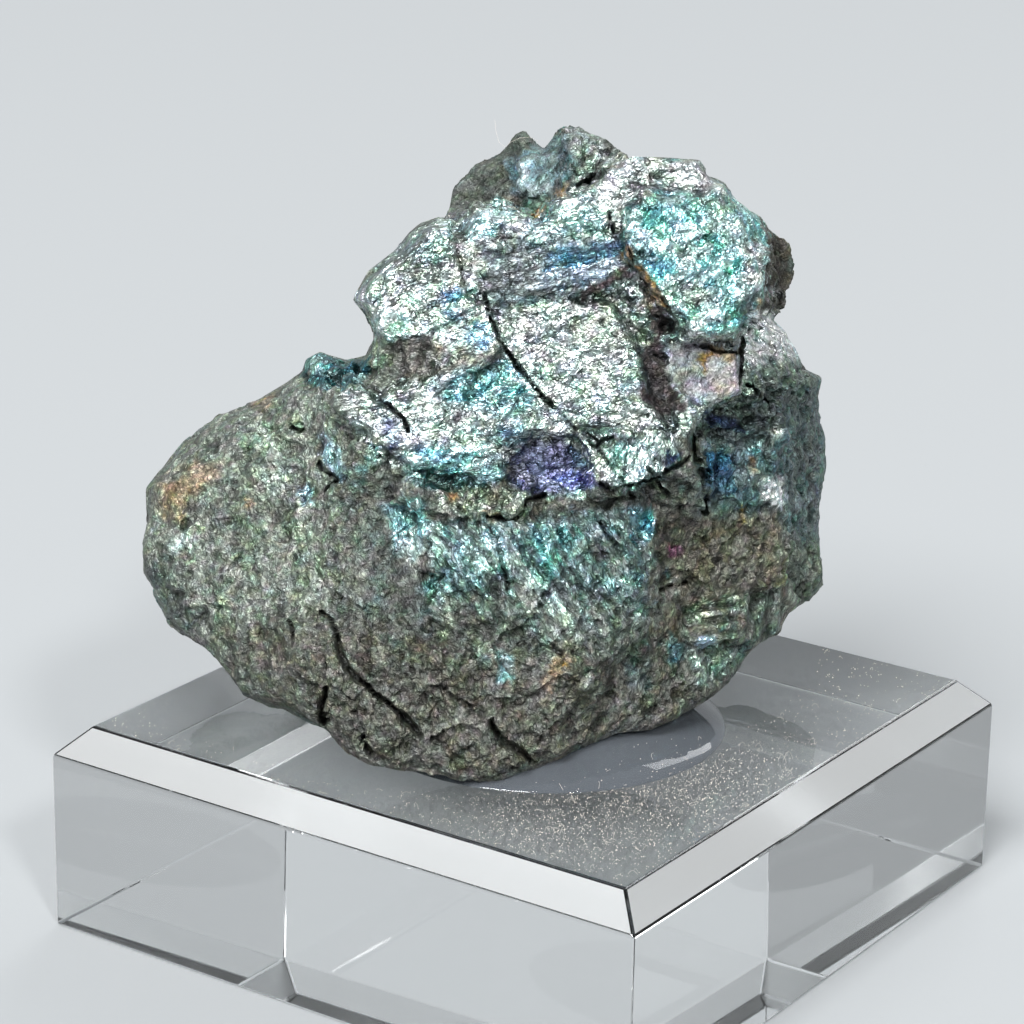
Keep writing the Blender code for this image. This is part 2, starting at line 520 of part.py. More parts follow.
def main():
    """Build the stone, its block and the glue between them."""
    clear_scene()
    acrylic_base(material("clear_acrylic", (0.93, 0.95, 0.96), 0.03, transmission=1.0, ior=1.49))
    stone = chalcocite(material("tarnished_chalcocite", (0.3, 0.35, 0.33), 0.42, metallic=0.7))
    glue_pad(material("clear_glue", (0.82, 0.87, 0.92), 0.1, transmission=0.85, ior=1.48), stone)


main()
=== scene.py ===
"""The looks of a chalcocite specimen on a clear display block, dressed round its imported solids.

Run as a script. The frame gives the block, the glue and the stone; every finish here is procedural.
"""

import math

import bmesh
import bpy
import numpy as np
from bpy.props import FloatProperty, FloatVectorProperty, IntProperty, PointerProperty
from mathutils import Matrix, Vector, bvhtree, kdtree, noise


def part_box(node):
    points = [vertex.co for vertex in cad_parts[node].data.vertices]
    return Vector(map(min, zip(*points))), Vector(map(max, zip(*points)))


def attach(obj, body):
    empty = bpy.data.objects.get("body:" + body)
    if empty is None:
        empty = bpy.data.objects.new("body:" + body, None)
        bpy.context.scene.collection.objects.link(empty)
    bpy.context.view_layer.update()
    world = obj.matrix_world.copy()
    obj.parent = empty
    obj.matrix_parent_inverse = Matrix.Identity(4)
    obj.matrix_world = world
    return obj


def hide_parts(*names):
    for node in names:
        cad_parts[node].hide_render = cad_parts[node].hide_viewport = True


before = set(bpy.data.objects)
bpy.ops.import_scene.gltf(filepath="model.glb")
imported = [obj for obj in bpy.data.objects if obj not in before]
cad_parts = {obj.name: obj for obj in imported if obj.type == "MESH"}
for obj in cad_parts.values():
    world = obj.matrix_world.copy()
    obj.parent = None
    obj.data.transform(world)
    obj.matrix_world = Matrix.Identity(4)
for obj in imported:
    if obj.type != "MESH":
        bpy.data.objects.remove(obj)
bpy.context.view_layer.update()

bl_info = {
    "name": "Chalcocite specimen",
    "version": (1, 0, 0),
    "blender": (4, 5, 0),
    "location": "3D View > Sidebar > Chalcocite",
    "description": "Dresses the packed chalcocite, its glue and its clear block, with dust and a pale studio",
    "category": "Add Mesh",
}

MM = 0.001
BODY = "root"

# The block, from the frame
BLOCK_LOW, BLOCK_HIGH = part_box("acrylic_base")
BLOCK_TOP = BLOCK_HIGH.z
BLOCK_SIDE = BLOCK_HIGH.x - BLOCK_LOW.x

# The side that the stone is displayed from, and the distance and point that its outline is read from
DISPLAY_AZIMUTH = math.radians(34.46)
DISPLAY_TILT = math.radians(19.02)
DISPLAY_ROLL = math.radians(0.97)
VIEW_DISTANCE = 197.4 * MM
VIEW_AXIS = (-1.42 * MM, 10.64 * MM)
VIEW_WIDTH = 57.34 * MM

# The form of the stone, as in its solid: depths are toward the viewer, and the back leans with height
STONE_MIDDLE = (-2.2 * MM, 14.1 * MM)
FRONT_DEPTH = 11.3 * MM
BACK_DEPTH = -13.6 * MM
BACK_LEAN = 0.32
BACK_LEAST = 1.8 * MM
BACK_STEEPNESS = 0.8
BACK_FULLNESS = 0.6
BACK_SMOOTHING = 14
BACK_NARROWING = 0.6
FLAT_SPOT = (1.5 * MM, -5.1 * MM)
FLAT_SPOT_RADIUS = 6.3 * MM
FLAT_SPOT_RISE = 0.3
STONE_CLEARANCE = 0.08 * MM
SEED = 29

# The outline of the stone from the display side, in millimetres from the middle of the block's top:
# right, up, toward the viewer, and the rounding of the front edge there
OUTLINE = [
    (16.1, 13.3, -6.0, 3.0), (16.0, 15.0, -6.0, 3.0), (15.6, 16.4, -6.0, 3.0), (15.5, 17.6, -5.5, 2.0),
    (15.7, 18.4, -5.0, 1.5), (14.8, 18.8, -3.0, 1.0), (14.3, 19.9, -1.0, 0.8), (13.6, 21.0, 1.0, 0.8),
    (12.8, 21.7, 1.0, 0.8), (13.7, 22.4, -3.0, 1.0), (13.8, 23.2, -3.5, 1.5), (14.2, 24.3, -4.5, 2.0),
    (14.2, 25.0, -4.5, 2.0), (13.9, 26.0, -4.5, 2.0), (12.8, 26.7, -4.0, 2.0), (12.2, 27.4, -3.0, 1.5),
    (11.6, 27.7, 4.0, 0.8), (10.9, 28.2, 6.0, 0.8), (10.4, 28.8, 7.0, 0.8), (10.1, 29.2, 7.5, 0.8),
    (9.2, 29.6, 8.0, 0.8), (8.7, 30.4, 8.5, 0.8), (6.8, 30.5, 9.0, 0.8), (5.0, 30.5, 9.0, 0.8),
    (4.1, 31.0, -2.0, 1.5), (3.3, 31.6, -3.0, 1.5), (2.5, 31.8, -3.5, 1.5), (1.5, 32.5, -4.5, 1.5),
    (0.7, 32.2, -4.5, 1.5), (0.0, 31.0, -4.5, 1.0), (-0.5, 31.4, -5.0, 1.0), (-1.0, 32.1, -5.5, 1.5),
    (-1.6, 31.9, -5.5, 1.5), (-2.1, 31.1, -5.0, 1.5), (-3.7, 30.0, -4.5, 2.0), (-4.9, 28.7, -4.0, 2.0),
    (-5.1, 27.6, -3.0, 2.0), (-5.4, 27.1, 5.0, 0.8), (-6.8, 26.6, 6.0, 0.8), (-7.5, 26.0, 6.5, 0.8),
    (-8.1, 25.1, 7.0, 0.8), (-9.6, 23.9, 7.0, 0.8), (-10.4, 22.4, 7.5, 0.8), (-9.7, 21.6, 7.0, 0.8),
    (-9.3, 20.4, 6.0, 0.8), (-9.7, 19.2, 4.0, 0.8), (-10.9, 18.9, 3.0, 1.0), (-11.8, 19.1, 2.5, 1.0),
    (-12.3, 19.3, 2.5, 1.0), (-13.0, 18.9, 2.5, 1.0), (-13.2, 18.2, 2.5, 1.0), (-14.1, 17.6, 2.0, 2.0),
    (-15.5, 16.7, 2.0, 3.0), (-17.8, 15.8, 2.0, 4.0), (-19.8, 14.2, 2.5, 5.0), (-20.9, 12.8, 3.0, 5.0),
    (-21.8, 11.6, 4.0, 5.0), (-21.8, 10.1, 4.5, 5.0), (-22.1, 8.4, 5.0, 5.0), (-22.0, 6.8, 5.5, 5.0),
    (-21.0, 5.1, 6.0, 5.0), (-20.4, 4.0, 6.5, 5.0), (-18.4, 2.7, 7.0, 4.0), (-17.2, 1.4, 7.5, 4.0),
    (-16.3, 0.3, 8.0, 3.0), (-14.8, -0.4, 8.5, 3.0), (-14.0, -0.5, 8.8, 3.0), (-12.8, -1.1, 9.3, 2.5),
    (-11.6, -1.7, 9.8, 2.5), (-10.4, -3.0, 10.3, 2.5), (-8.9, -3.8, 10.8, 2.5),
    (-6.9, -4.2, 11.2, 2.5), (-4.4, -4.6, 11.6, 2.5), (-1.6, -4.4, 11.4, 2.5), (0.4, -3.6, 10.8, 2.5),
    (2.6, -2.5, 9.8, 2.5), (4.6, -1.5, 8.8, 2.5), (6.5, -1.3, 7.9, 2.5), (8.2, -0.5, 7.0, 2.5),
    (9.9, 0.6, 5.5, 2.5), (11.1, 1.7, 4.0, 2.0), (11.9, 3.0, 2.5, 2.0), (13.7, 4.1, 0.0, 2.0),
    (14.1, 5.2, -1.0, 2.0), (15.3, 5.9, -2.5, 2.0), (16.1, 7.0, -3.5, 2.0), (15.9, 8.8, -4.0, 2.5),
    (15.8, 10.5, -4.5, 3.0), (15.9, 12.2, -5.5, 3.0),
]

# The faces of the front, each laid over the ones before: its depth toward the viewer at its middle,
# how that grows to the right and upward, how wide its edge is, and its outline (right, up)
FACES = {
    "left_lobe": (8.5, 0.25, -0.22, 5, [
        (-23.5, 20.5), (-11.8, 20.1), (-10.9, 15.6), (-11.3, 10.0), (-11.5, 3.3), (-13.0, -4.0),
        (-23.1, -4.2)]),
    "foot": (12.6, -0.02, 0.12, 5, [(-13.2, 3.3), (3.6, 3.6), (5.9, 0.2), (1.5, -5.4), (-13.0, -5.7)]),
    "right_flank": (6.6, -0.62, 0.08, 5, [
        (5.7, 11.4), (9.1, 11.5), (14.6, 17.2), (17.4, 17.2), (17.6, 3.8), (12.6, 2.0), (9.3, -1.4),
        (3.7, -3.7), (2.0, -2.1), (4.7, 3.6)]),
    "fan_face": (12.4, -0.1, -0.02, 2.2, [
        (-6.6, 10.1), (-1.0, 9.9), (5.7, 10.9), (6.6, 8.1), (4.7, 3.6), (1.4, 3.0), (-3.7, 4.6)]),
    "dusty_centre": (11.3, 0.05, -0.05, 1.6, [
        (-11.3, 10.6), (-6.6, 11.2), (-5.9, 5.6), (-6.5, 3.4), (-10.7, 5.0)]),
    "plate": (10.6, -0.03, -0.17, 0.5, [
        (-5.4, 27.5), (-11.3, 23.5), (-10.7, 20.7), (-9.3, 20.1), (-9.4, 17.6), (-11.2, 17.0),
        (-11.4, 16.2), (-7.7, 13.4), (-2.1, 11.9), (1.2, 14.7), (5.0, 12.1), (9.0, 16.0), (11.5, 17.1),
        (12.5, 22.7), (12.4, 27.5), (10.5, 28.9), (8.8, 31.1), (4.8, 31.0), (3.5, 29.6), (1.0, 28.3),
        (-0.4, 27.2), (-3.5, 27.8)]),
    "plate_left": (11.0, 0.15, -0.17, 0.5, [
        (-5.4, 27.5), (-4.9, 25.8), (-4.5, 23.0), (-2.8, 21.9), (-2.4, 20.0), (-3.3, 18.0),
        (-5.0, 15.7), (-7.2, 15.1), (-8.9, 16.8), (-9.4, 17.6), (-6.1, 17.7), (-6.7, 20.5),
        (-9.3, 20.2), (-11.0, 21.2), (-11.0, 23.5), (-6.9, 27.2)]),
    "olive_patch": (10.3, 0.3, -0.1, 1.2, [
        (-10.1, 20.2), (-6.2, 20.3), (-5.9, 18.2), (-8.9, 17.2), (-10.1, 18.7)]),
    "turquoise_block": (10.8, -0.12, -0.17, 0.7, [
        (4.5, 27.4), (5.4, 28.5), (8.8, 28.8), (10.5, 28.9), (12.4, 27.7), (12.5, 22.7), (11.5, 20.9),
        (8.4, 20.7), (7.1, 22.3), (5.8, 24.0), (4.7, 25.4)]),
    "dark_pit": (9.7, 0, 0, 0.8, [
        (2.2, 22.5), (4.1, 24.0), (5.5, 24.3), (6.5, 22.6), (7.9, 20.3), (7.2, 17.9), (7.5, 15.7),
        (6.5, 16.8), (5.7, 19.8), (4.0, 22.6)]),
    "lilac_facet": (9.6, -0.15, -0.35, 0.3, [
        (7.2, 20.1), (8.9, 20.6), (11.5, 20.2), (11.3, 17.4), (9.8, 16.7), (8.4, 17.0), (7.2, 17.9)]),
    "streaked_facet": (6.6, -0.9, -0.3, 0.3, [
        (11.2, 20.6), (11.7, 22.1), (13.1, 22.5), (15.2, 19.3), (14.9, 18.6), (13.5, 18.0),
        (11.3, 17.7)]),
    "side_step": (6.6, -0.5, -0.1, 0.9, [
        (11.3, 17.6), (13.5, 17.9), (15.0, 18.4), (14.6, 16.1), (13.5, 14.9), (11.3, 15.4),
        (9.0, 16.0), (9.8, 16.7)]),
    "blue_hollow": (6.5, -0.5, 0.05, 1.0, [(9.3, 15.7), (13.8, 14.9), (13.8, 11.6), (9.8, 10.8)]),
    "right_side": (-1.0, -1.2, 0.05, 1.2, [(13.7, 18.0), (16.8, 18.3), (17.0, 8.5), (14.2, 9.3)]),
    "fan_block": (12.0, -0.22, -0.1, 0.5, [
        (2.3, 15.3), (7.2, 15.4), (9.0, 15.7), (8.9, 13.2), (5.7, 12.2), (5.0, 12.0), (2.6, 11.9)]),
    "violet_patch": (11.3, -0.1, -0.12, 1.1, [
        (-1.9, 13.4), (-1.5, 14.2), (-0.5, 14.8), (1.2, 14.9), (2.4, 14.6), (3.0, 13.1), (2.8, 11.8),
        (1.2, 11.9), (-0.4, 12.1), (-1.5, 12.5)]),
    "ledge": (12.4, -0.02, -0.4, 1.0, [
        (-7.8, 12.9), (-5.5, 12.2), (-0.3, 12.2), (-0.4, 11.3), (-1.0, 10.3), (-5.5, 10.2),
        (-8.0, 11.2)]),
    "ridged_facet": (6.3, -0.4, -0.45, 0.7, [(8.1, 5.8), (11.5, 6.4), (11.9, 3.7), (8.7, 3.2)]),
    "ribbed_facet": (3.3, -0.6, -0.2, 0.6, [
        (11.8, 6.2), (14.8, 7.2), (14.8, 5.7), (14.1, 4.2), (12.1, 3.4)]),
    "mint_flake": (5.0, -0.45, 0.1, 0.5, [(8.7, 3.1), (11.9, 3.6), (11.8, 2.1), (9.9, 0.9)]),
    "right_bump": (-0.2, -0.9, 0, 0.8, [
        (14.0, 9.3), (16.4, 9.4), (16.5, 6.6), (15.1, 5.7), (14.1, 6.0)]),
    "knob": (-3.4, 0.05, -0.3, 0.5, [
        (-5.7, 27.1), (-5.2, 29.4), (-2.5, 32.0), (-1.1, 33.2), (0.1, 31.8), (1.4, 33.5), (4.5, 31.6),
        (5.1, 30.6), (3.5, 29.7), (1.0, 28.3), (-0.4, 27.2), (-2.1, 27.4), (-3.5, 27.8), (-5.2, 27.2)]),
    "knob_slab": (-2.5, 0.1, -0.2, 0.8, [
        (-1.8, 30.3), (-0.2, 30.9), (0.9, 31.2), (1.1, 28.7), (0.1, 28.1), (-1.3, 28.4)]),
    "knob_hollow": (-2.9, 0, 0, 0.9, [(-1.6, 28.4), (0.1, 28.6), (0.1, 27.4), (-1.3, 27.4)]),
    "knob_flake": (-2.0, -0.1, -0.25, 0.4, [
        (1.2, 32.1), (4.0, 31.1), (4.5, 30.5), (2.5, 29.3), (1.2, 28.7)]),
    "side_piece": (-3.6, -0.3, -0.1, 0.4, [
        (12.4, 27.6), (14.7, 27.0), (14.8, 22.8), (14.0, 21.8), (12.7, 22.0), (12.5, 23.3)]),
    "lobe_knob": (5.4, 0.05, -0.3, 0.9, [
        (-13.7, 19.5), (-10.6, 19.4), (-9.4, 18.3), (-10.6, 17.4), (-13.4, 17.5)]),
    "wedge_face": (12.3, 0.1, -0.25, 0.2, [
        (2.0, 15.4), (2.9, 15.0), (4.7, 12.6), (5.0, 12.0), (3.6, 12.4), (2.6, 13.5)]),
}
STREAKED_FACES = ("plate", "plate_left", "turquoise_block", "lilac_facet", "streaked_facet", "wedge_face")

# The share of the broken relief that each face shows
ROUGHNESS = {
    "left_lobe": 0.45,
    "foot": 0.95,
    "right_flank": 0.7,
    "fan_face": 0.7,
    "dusty_centre": 0.4,
    "plate": 0.4,
    "plate_left": 0.4,
    "olive_patch": 0.6,
    "turquoise_block": 0.5,
    "lilac_facet": 0.35,
    "streaked_facet": 0.4,
    "blue_hollow": 0.6,
    "right_side": 0.8,
    "fan_block": 0.4,
    "violet_patch": 0.45,
    "ledge": 0.8,
    "ridged_facet": 0.3,
    "ribbed_facet": 0.3,
    "knob": 0.5,
    "knob_slab": 0.3,
    "wedge_face": 0.2,
}

# Cracks: half width, depth and route (right, up)
CRACKS = [
    (0.2, 1.3, [(2.18, 28.96), (2.63, 29.25), (3.01, 29.53), (3.57, 29.93)]),
    (0.06, 0.16, [
        (-5.06, 26.82), (-4.82, 26.04), (-4.64, 24.92), (-4.45, 23.8), (-4.1, 23.03), (-3.42, 22.76)]),
    (0.08, 0.45, [(-3.09, 22.71), (-2.85, 21.82), (-2.61, 21.04)]),
    (0.12, 0.7, [(-2.61, 21.04), (-2.37, 20.37), (-1.91, 19.7), (-1.46, 19.15), (-1.11, 18.71)]),
    (0.06, 0.2, [(-1.11, 18.71), (-0.66, 18.16), (-0.31, 17.71)]),
    (0.1, 0.55, [(-0.2, 17.6), (0.2, 17.16), (0.66, 16.72)]),
    (0.06, 0.22, [
        (0.66, 16.72), (1.51, 15.95), (2.42, 15.07), (3.45, 14.08), (4.36, 12.98), (5.05, 12.15)]),
    (0.44, 2.2, [(8.97, 15.3), (9.04, 14.62), (9.11, 13.73)]),
    (0.3, 1.9, [(9.11, 13.84), (9.18, 12.83), (9.25, 12.05)]),
    (0.17, 1.4, [(9.25, 12.05), (9.37, 11.49), (9.49, 10.82)]),
    (0.06, 0.25, [(-9.83, 17.66), (-9.15, 17.0), (-8.47, 16.46)]),
    (0.1, 0.6, [(-8.47, 16.46), (-7.96, 16.07), (-7.56, 15.69), (-7.33, 15.13)]),
    (0.09, 0.8, [(5.05, 12.15), (6.16, 12.56), (7.16, 13.02), (8.16, 13.6), (8.71, 14.17)]),
    (0.08, 0.7, [(3.36, 12.29), (4.26, 12.08), (5.05, 12.15), (5.17, 11.42)]),
    (0.07, 0.5, [(3.83, 27.42), (3.96, 26.41)]),
    (0.07, 0.4, [(2.02, 15.4), (2.75, 15.19), (3.21, 14.75)]),
    (0.07, 0.5, [(3.22, 14.36), (3.66, 14.76), (4.1, 14.99)]),
    (0.17, 1.1, [
        (-11.16, 3.3), (-10.92, 2.64), (-10.63, 1.74), (-9.89, 1.09), (-9.09, 0.43), (-8.18, -0.23),
        (-7.39, -0.89), (-6.36, -1.99)]),
    (0.19, 1.2, [(-11.78, 0.49), (-11.94, -0.29), (-11.75, -1.3)]),
    (0.17, 1.0, [(-9.44, -1.99), (-9.27, -2.54), (-8.92, -2.93)]),
    (0.17, 1.1, [(-2.34, -1.14), (-1.88, -1.91), (-1.2, -2.35), (-0.52, -2.79), (-0.06, -3.45)]),
    (0.11, 0.8, [(-7.62, -0.67), (-7.27, -1.11), (-6.82, -1.55)]),
    (0.09, 0.6, [(-13.71, 15.13), (-13.37, 14.86), (-13.15, 15.03)]),
    (0.11, 0.9, [(-12.11, 13.15), (-11.77, 12.81), (-11.25, 12.32)]),
    (0.11, 0.6, [(-11.25, 12.32), (-11.59, 12.03), (-11.92, 11.69)]),
    (0.1, 0.4, [(-13.75, 4.27), (-13.57, 3.82), (-13.51, 3.43)]),
    (0.12, 0.6, [(-12.08, 4.86), (-11.4, 4.42), (-11.05, 3.31)]),
    (0.11, 0.9, [(-0.98, 10.98), (-0.32, 11.33), (0.46, 11.57)]),
    (0.11, 0.6, [(-2.76, 10.28), (-1.53, 10.19), (-0.97, 10.53), (-0.54, 11.1)]),
    (0.1, 0.5, [(8.38, 20.33), (9.17, 20.12), (10.52, 19.8), (11.3, 19.82)]),
    (0.11, 0.9, [(11.67, 18.03), (12.24, 17.48), (12.8, 17.04)]),
    (0.08, 0.6, [(11.29, 20.6), (11.36, 19.37), (11.33, 18.02)]),
    (0.09, 0.5, [(-2.05, 7.94), (-1.7, 6.94), (-1.57, 6.27)]),
    (0.09, 0.5, [(3.51, 10.27), (3.98, 9.27), (4.54, 8.89)]),
    (0.09, 0.6, [(6.94, 6.41), (7.83, 6.65), (8.5, 6.89)]),
    (0.08, 0.5, [(4.77, 25.42), (5.17, 24.75), (5.86, 23.76), (7.12, 22.21)]),
    (0.08, 0.5, [(6.26, 13.12), (6.84, 12.35), (7.29, 11.79)]),
]

# Pits: radius, depth and middle (right, up)
PITS = [
    (0.28, 0.6, (-13.4, 15.0)),
    (0.2, 0.5, (-16.0, 10.9)),
    (0.4, 0.7, (-11.6, 12.6)),
    (0.5, 1.0, (-9.3, -2.4)),
    (0.45, 0.7, (-19.8, 5.6)),
    (0.5, 0.8, (2.6, 29.2)),
    (0.5, 0.9, (3.0, 29.5)),
    (0.4, 0.7, (3.4, 29.8)),
    (0.35, 0.8, (-9.6, -2.1)),
    (0.3, 0.6, (-15.3, 3.7)),
    (0.35, 0.6, (-18.5, 4.7)),
    (0.3, 0.5, (-19.7, 9.4)),
    (0.35, 0.6, (3.5, 8.3)),
    (0.3, 0.6, (6.4, 21.7)),
    (0.5, 0.8, (6.7, 19.3)),
    (0.45, 0.8, (6.9, 21.0)),
    (0.4, 0.6, (-11.9, 12.8)),
    (0.3, 0.5, (-2.2, 6.3)),
    (0.35, 0.5, (-1.0, 10.9)),
    (0.3, 0.4, (12.7, 22.8)),
    (0.4, 0.6, (-12.9, 18.3)),
    (0.3, 0.5, (-10.5, 18.5)),
]

# Blades and ribs: direction in degrees from the right, spacing, length and height, and where (right, up)
BLADES = {
    "fan_blades": (-58, 0.42, 2.4, 0.2, [
        (-6.3, 10.1), (-1.0, 10.2), (5.7, 10.8), (6.6, 8.1), (4.7, 3.6), (1.4, 3.0), (-3.1, 4.6),
        (-5.4, 6.2)]),
    "centre_blades": (-80, 0.4, 1.6, 0.1, [
        (-8.5, 10.9), (-6.3, 11.3), (-5.4, 6.2), (-7.1, 5.6), (-8.1, 8.7)]),
    "shelf_blades": (20, 0.35, 1.4, 0.08, [
        (-7.9, 13.9), (-5.5, 14.4), (-1.7, 14.3), (-1.7, 12.2), (-4.9, 11.8), (-6.9, 12.1)]),
    "ledge_blades": (75, 0.35, 0.9, 0.1, [
        (-6.0, 11.8), (-0.3, 12.1), (-0.5, 11.1), (-1.2, 10.4), (-4.9, 10.5)]),
    "blue_band": (16, 0.26, 2.0, 0.1, [
        (-3.5, 25.8), (-0.1, 25.6), (3.7, 26.2), (5.0, 26.0), (5.1, 24.8), (3.3, 23.5), (1.4, 22.9),
        (-2.0, 22.3), (-3.1, 23.0)]),
    "ridged": (8, 0.4, 6.0, 0.2, [(8.1, 5.8), (11.5, 6.4), (11.8, 3.7), (8.7, 3.2)]),
    "ribbed": (82, 0.6, 6.0, 0.3, [(11.6, 6.3), (14.8, 7.2), (14.9, 5.7), (14.1, 4.1), (12.1, 3.4)]),
    "streaked": (-18, 0.3, 1.0, 0.09, [
        (11.2, 20.5), (11.8, 22.1), (13.1, 22.4), (14.9, 19.3), (13.4, 19.1), (11.3, 19.0)]),
    "radial_fan": (70, 0.3, 1.8, 0.12, [
        (4.4, 14.4), (7.0, 15.2), (7.3, 13.1), (5.8, 12.2), (4.9, 12.1)]),
    "wedge": (55, 0.3, 1.0, 0.06, [
        (2.0, 15.4), (2.9, 15.0), (4.7, 12.6), (4.9, 12.0), (3.6, 12.4), (2.6, 13.5)]),
    "knob_slab": (62, 0.6, 1.6, 0.2, [
        (-1.8, 30.2), (0.9, 31.2), (1.6, 30.1), (1.0, 28.6), (-1.3, 28.2)]),
    "yellow_blades": (-52, 0.3, 1.2, 0.1, [(-5.8, 5.6), (-5.0, 6.4), (-4.3, 4.0), (-5.3, 3.4)]),
    "flake_streaks": (18, 0.35, 1.4, 0.08, [
        (-5.6, 17.3), (-3.4, 18.8), (-2.2, 19.4), (-0.3, 17.4), (-0.6, 16.3), (-5.0, 16.1)]),
}

# The tarnish colours, named for what they look like; a few dark ones are painted shade
COLOURS = {
    "knob_teal": "#617a7f",
    "knob_moss": "#50564d",
    "far_teal": "#54686b",
    "band_grey": "#64747c",
    "hollow_green": "#4d7266",
    # Painted shade for the knob's gap, not a tarnish
    "gap_painted_shade": "#101212",
    "pale_flake": "#aab1b0",
    "dark_grain": "#3c3a37",
    "fan_olive": "#6f776b",
    "orange": "#a8743c",
    "grey_green": "#7b8276",
    "ink": "#454f53",
    "slate": "#5e625d",
    "grey_brown": "#66645a",
    "bottle": "#64746d",
    "umber": "#6a6656",
    "silver": "#a9b5b2",
    "lilac_silver": "#b7b7bc",
    "mint": "#b8dcd6",
    "warm_grey": "#a0a198",
    "steel_blue": "#527a98",
    "teal": "#4c7480",
    "sky": "#80aaca",
    "olive_grey": "#8c9080",
    "pale_cyan": "#9fd6da",
    "iron": "#7e8683",
    "sage": "#7d9285",
    "turquoise": "#7db9c0",
    "indigo_grey": "#4a5a86",
    "indigo": "#484e74",
    "violet": "#7478ac",
    "aqua": "#9cdcd4",
    "navy": "#2c3a56",
    "turquoise_green": "#8ac6c6",
    "cyan": "#78bcd0",
    "sage_light": "#9eac9a",
    # Gold-brown tarnish, also used as painted shadow along the raised block's edge
    "gold_brown_and_shadow": "#7a6236",
    "brown_purple": "#5a4c4f",
    "tan_grey": "#9b907c",
    # Painted shade for the pit channel
    "pit_painted_shade": "#433a3b",
    "lilac_grey": "#9b999f",
    "pink_grey": "#b09a94",
    "blue_grey": "#94a9ba",
    "ochre": "#8a6a2c",
    "white_silver": "#eef2f2",
    "deep_blue": "#3c6480",
    "dark_teal": "#476c73",
    "rust": "#92785a",
    "gold": "#a48c3c",
    "umber_dark": "#3b372f",
    "tan": "#a98a5c",
    "olive": "#7d8778",
    "brown": "#77716a",
    "dark_turquoise": "#467880",
    "moss": "#61705f",
    "bright_orange": "#c8924c",
    "bright_rust": "#a87a50",
    "pale_blue": "#a2c8dc",
    "olive_light": "#a0aa98",
    "fan_teal": "#84a4a4",
    "cyan_pale": "#9adce4",
    "sky_light": "#8ccbdb",
    "magenta": "#642c4e",
    "olive_brown": "#6e6844",
    "yellow_green": "#a2ab94",
    "mint_green": "#94b4a0",
}
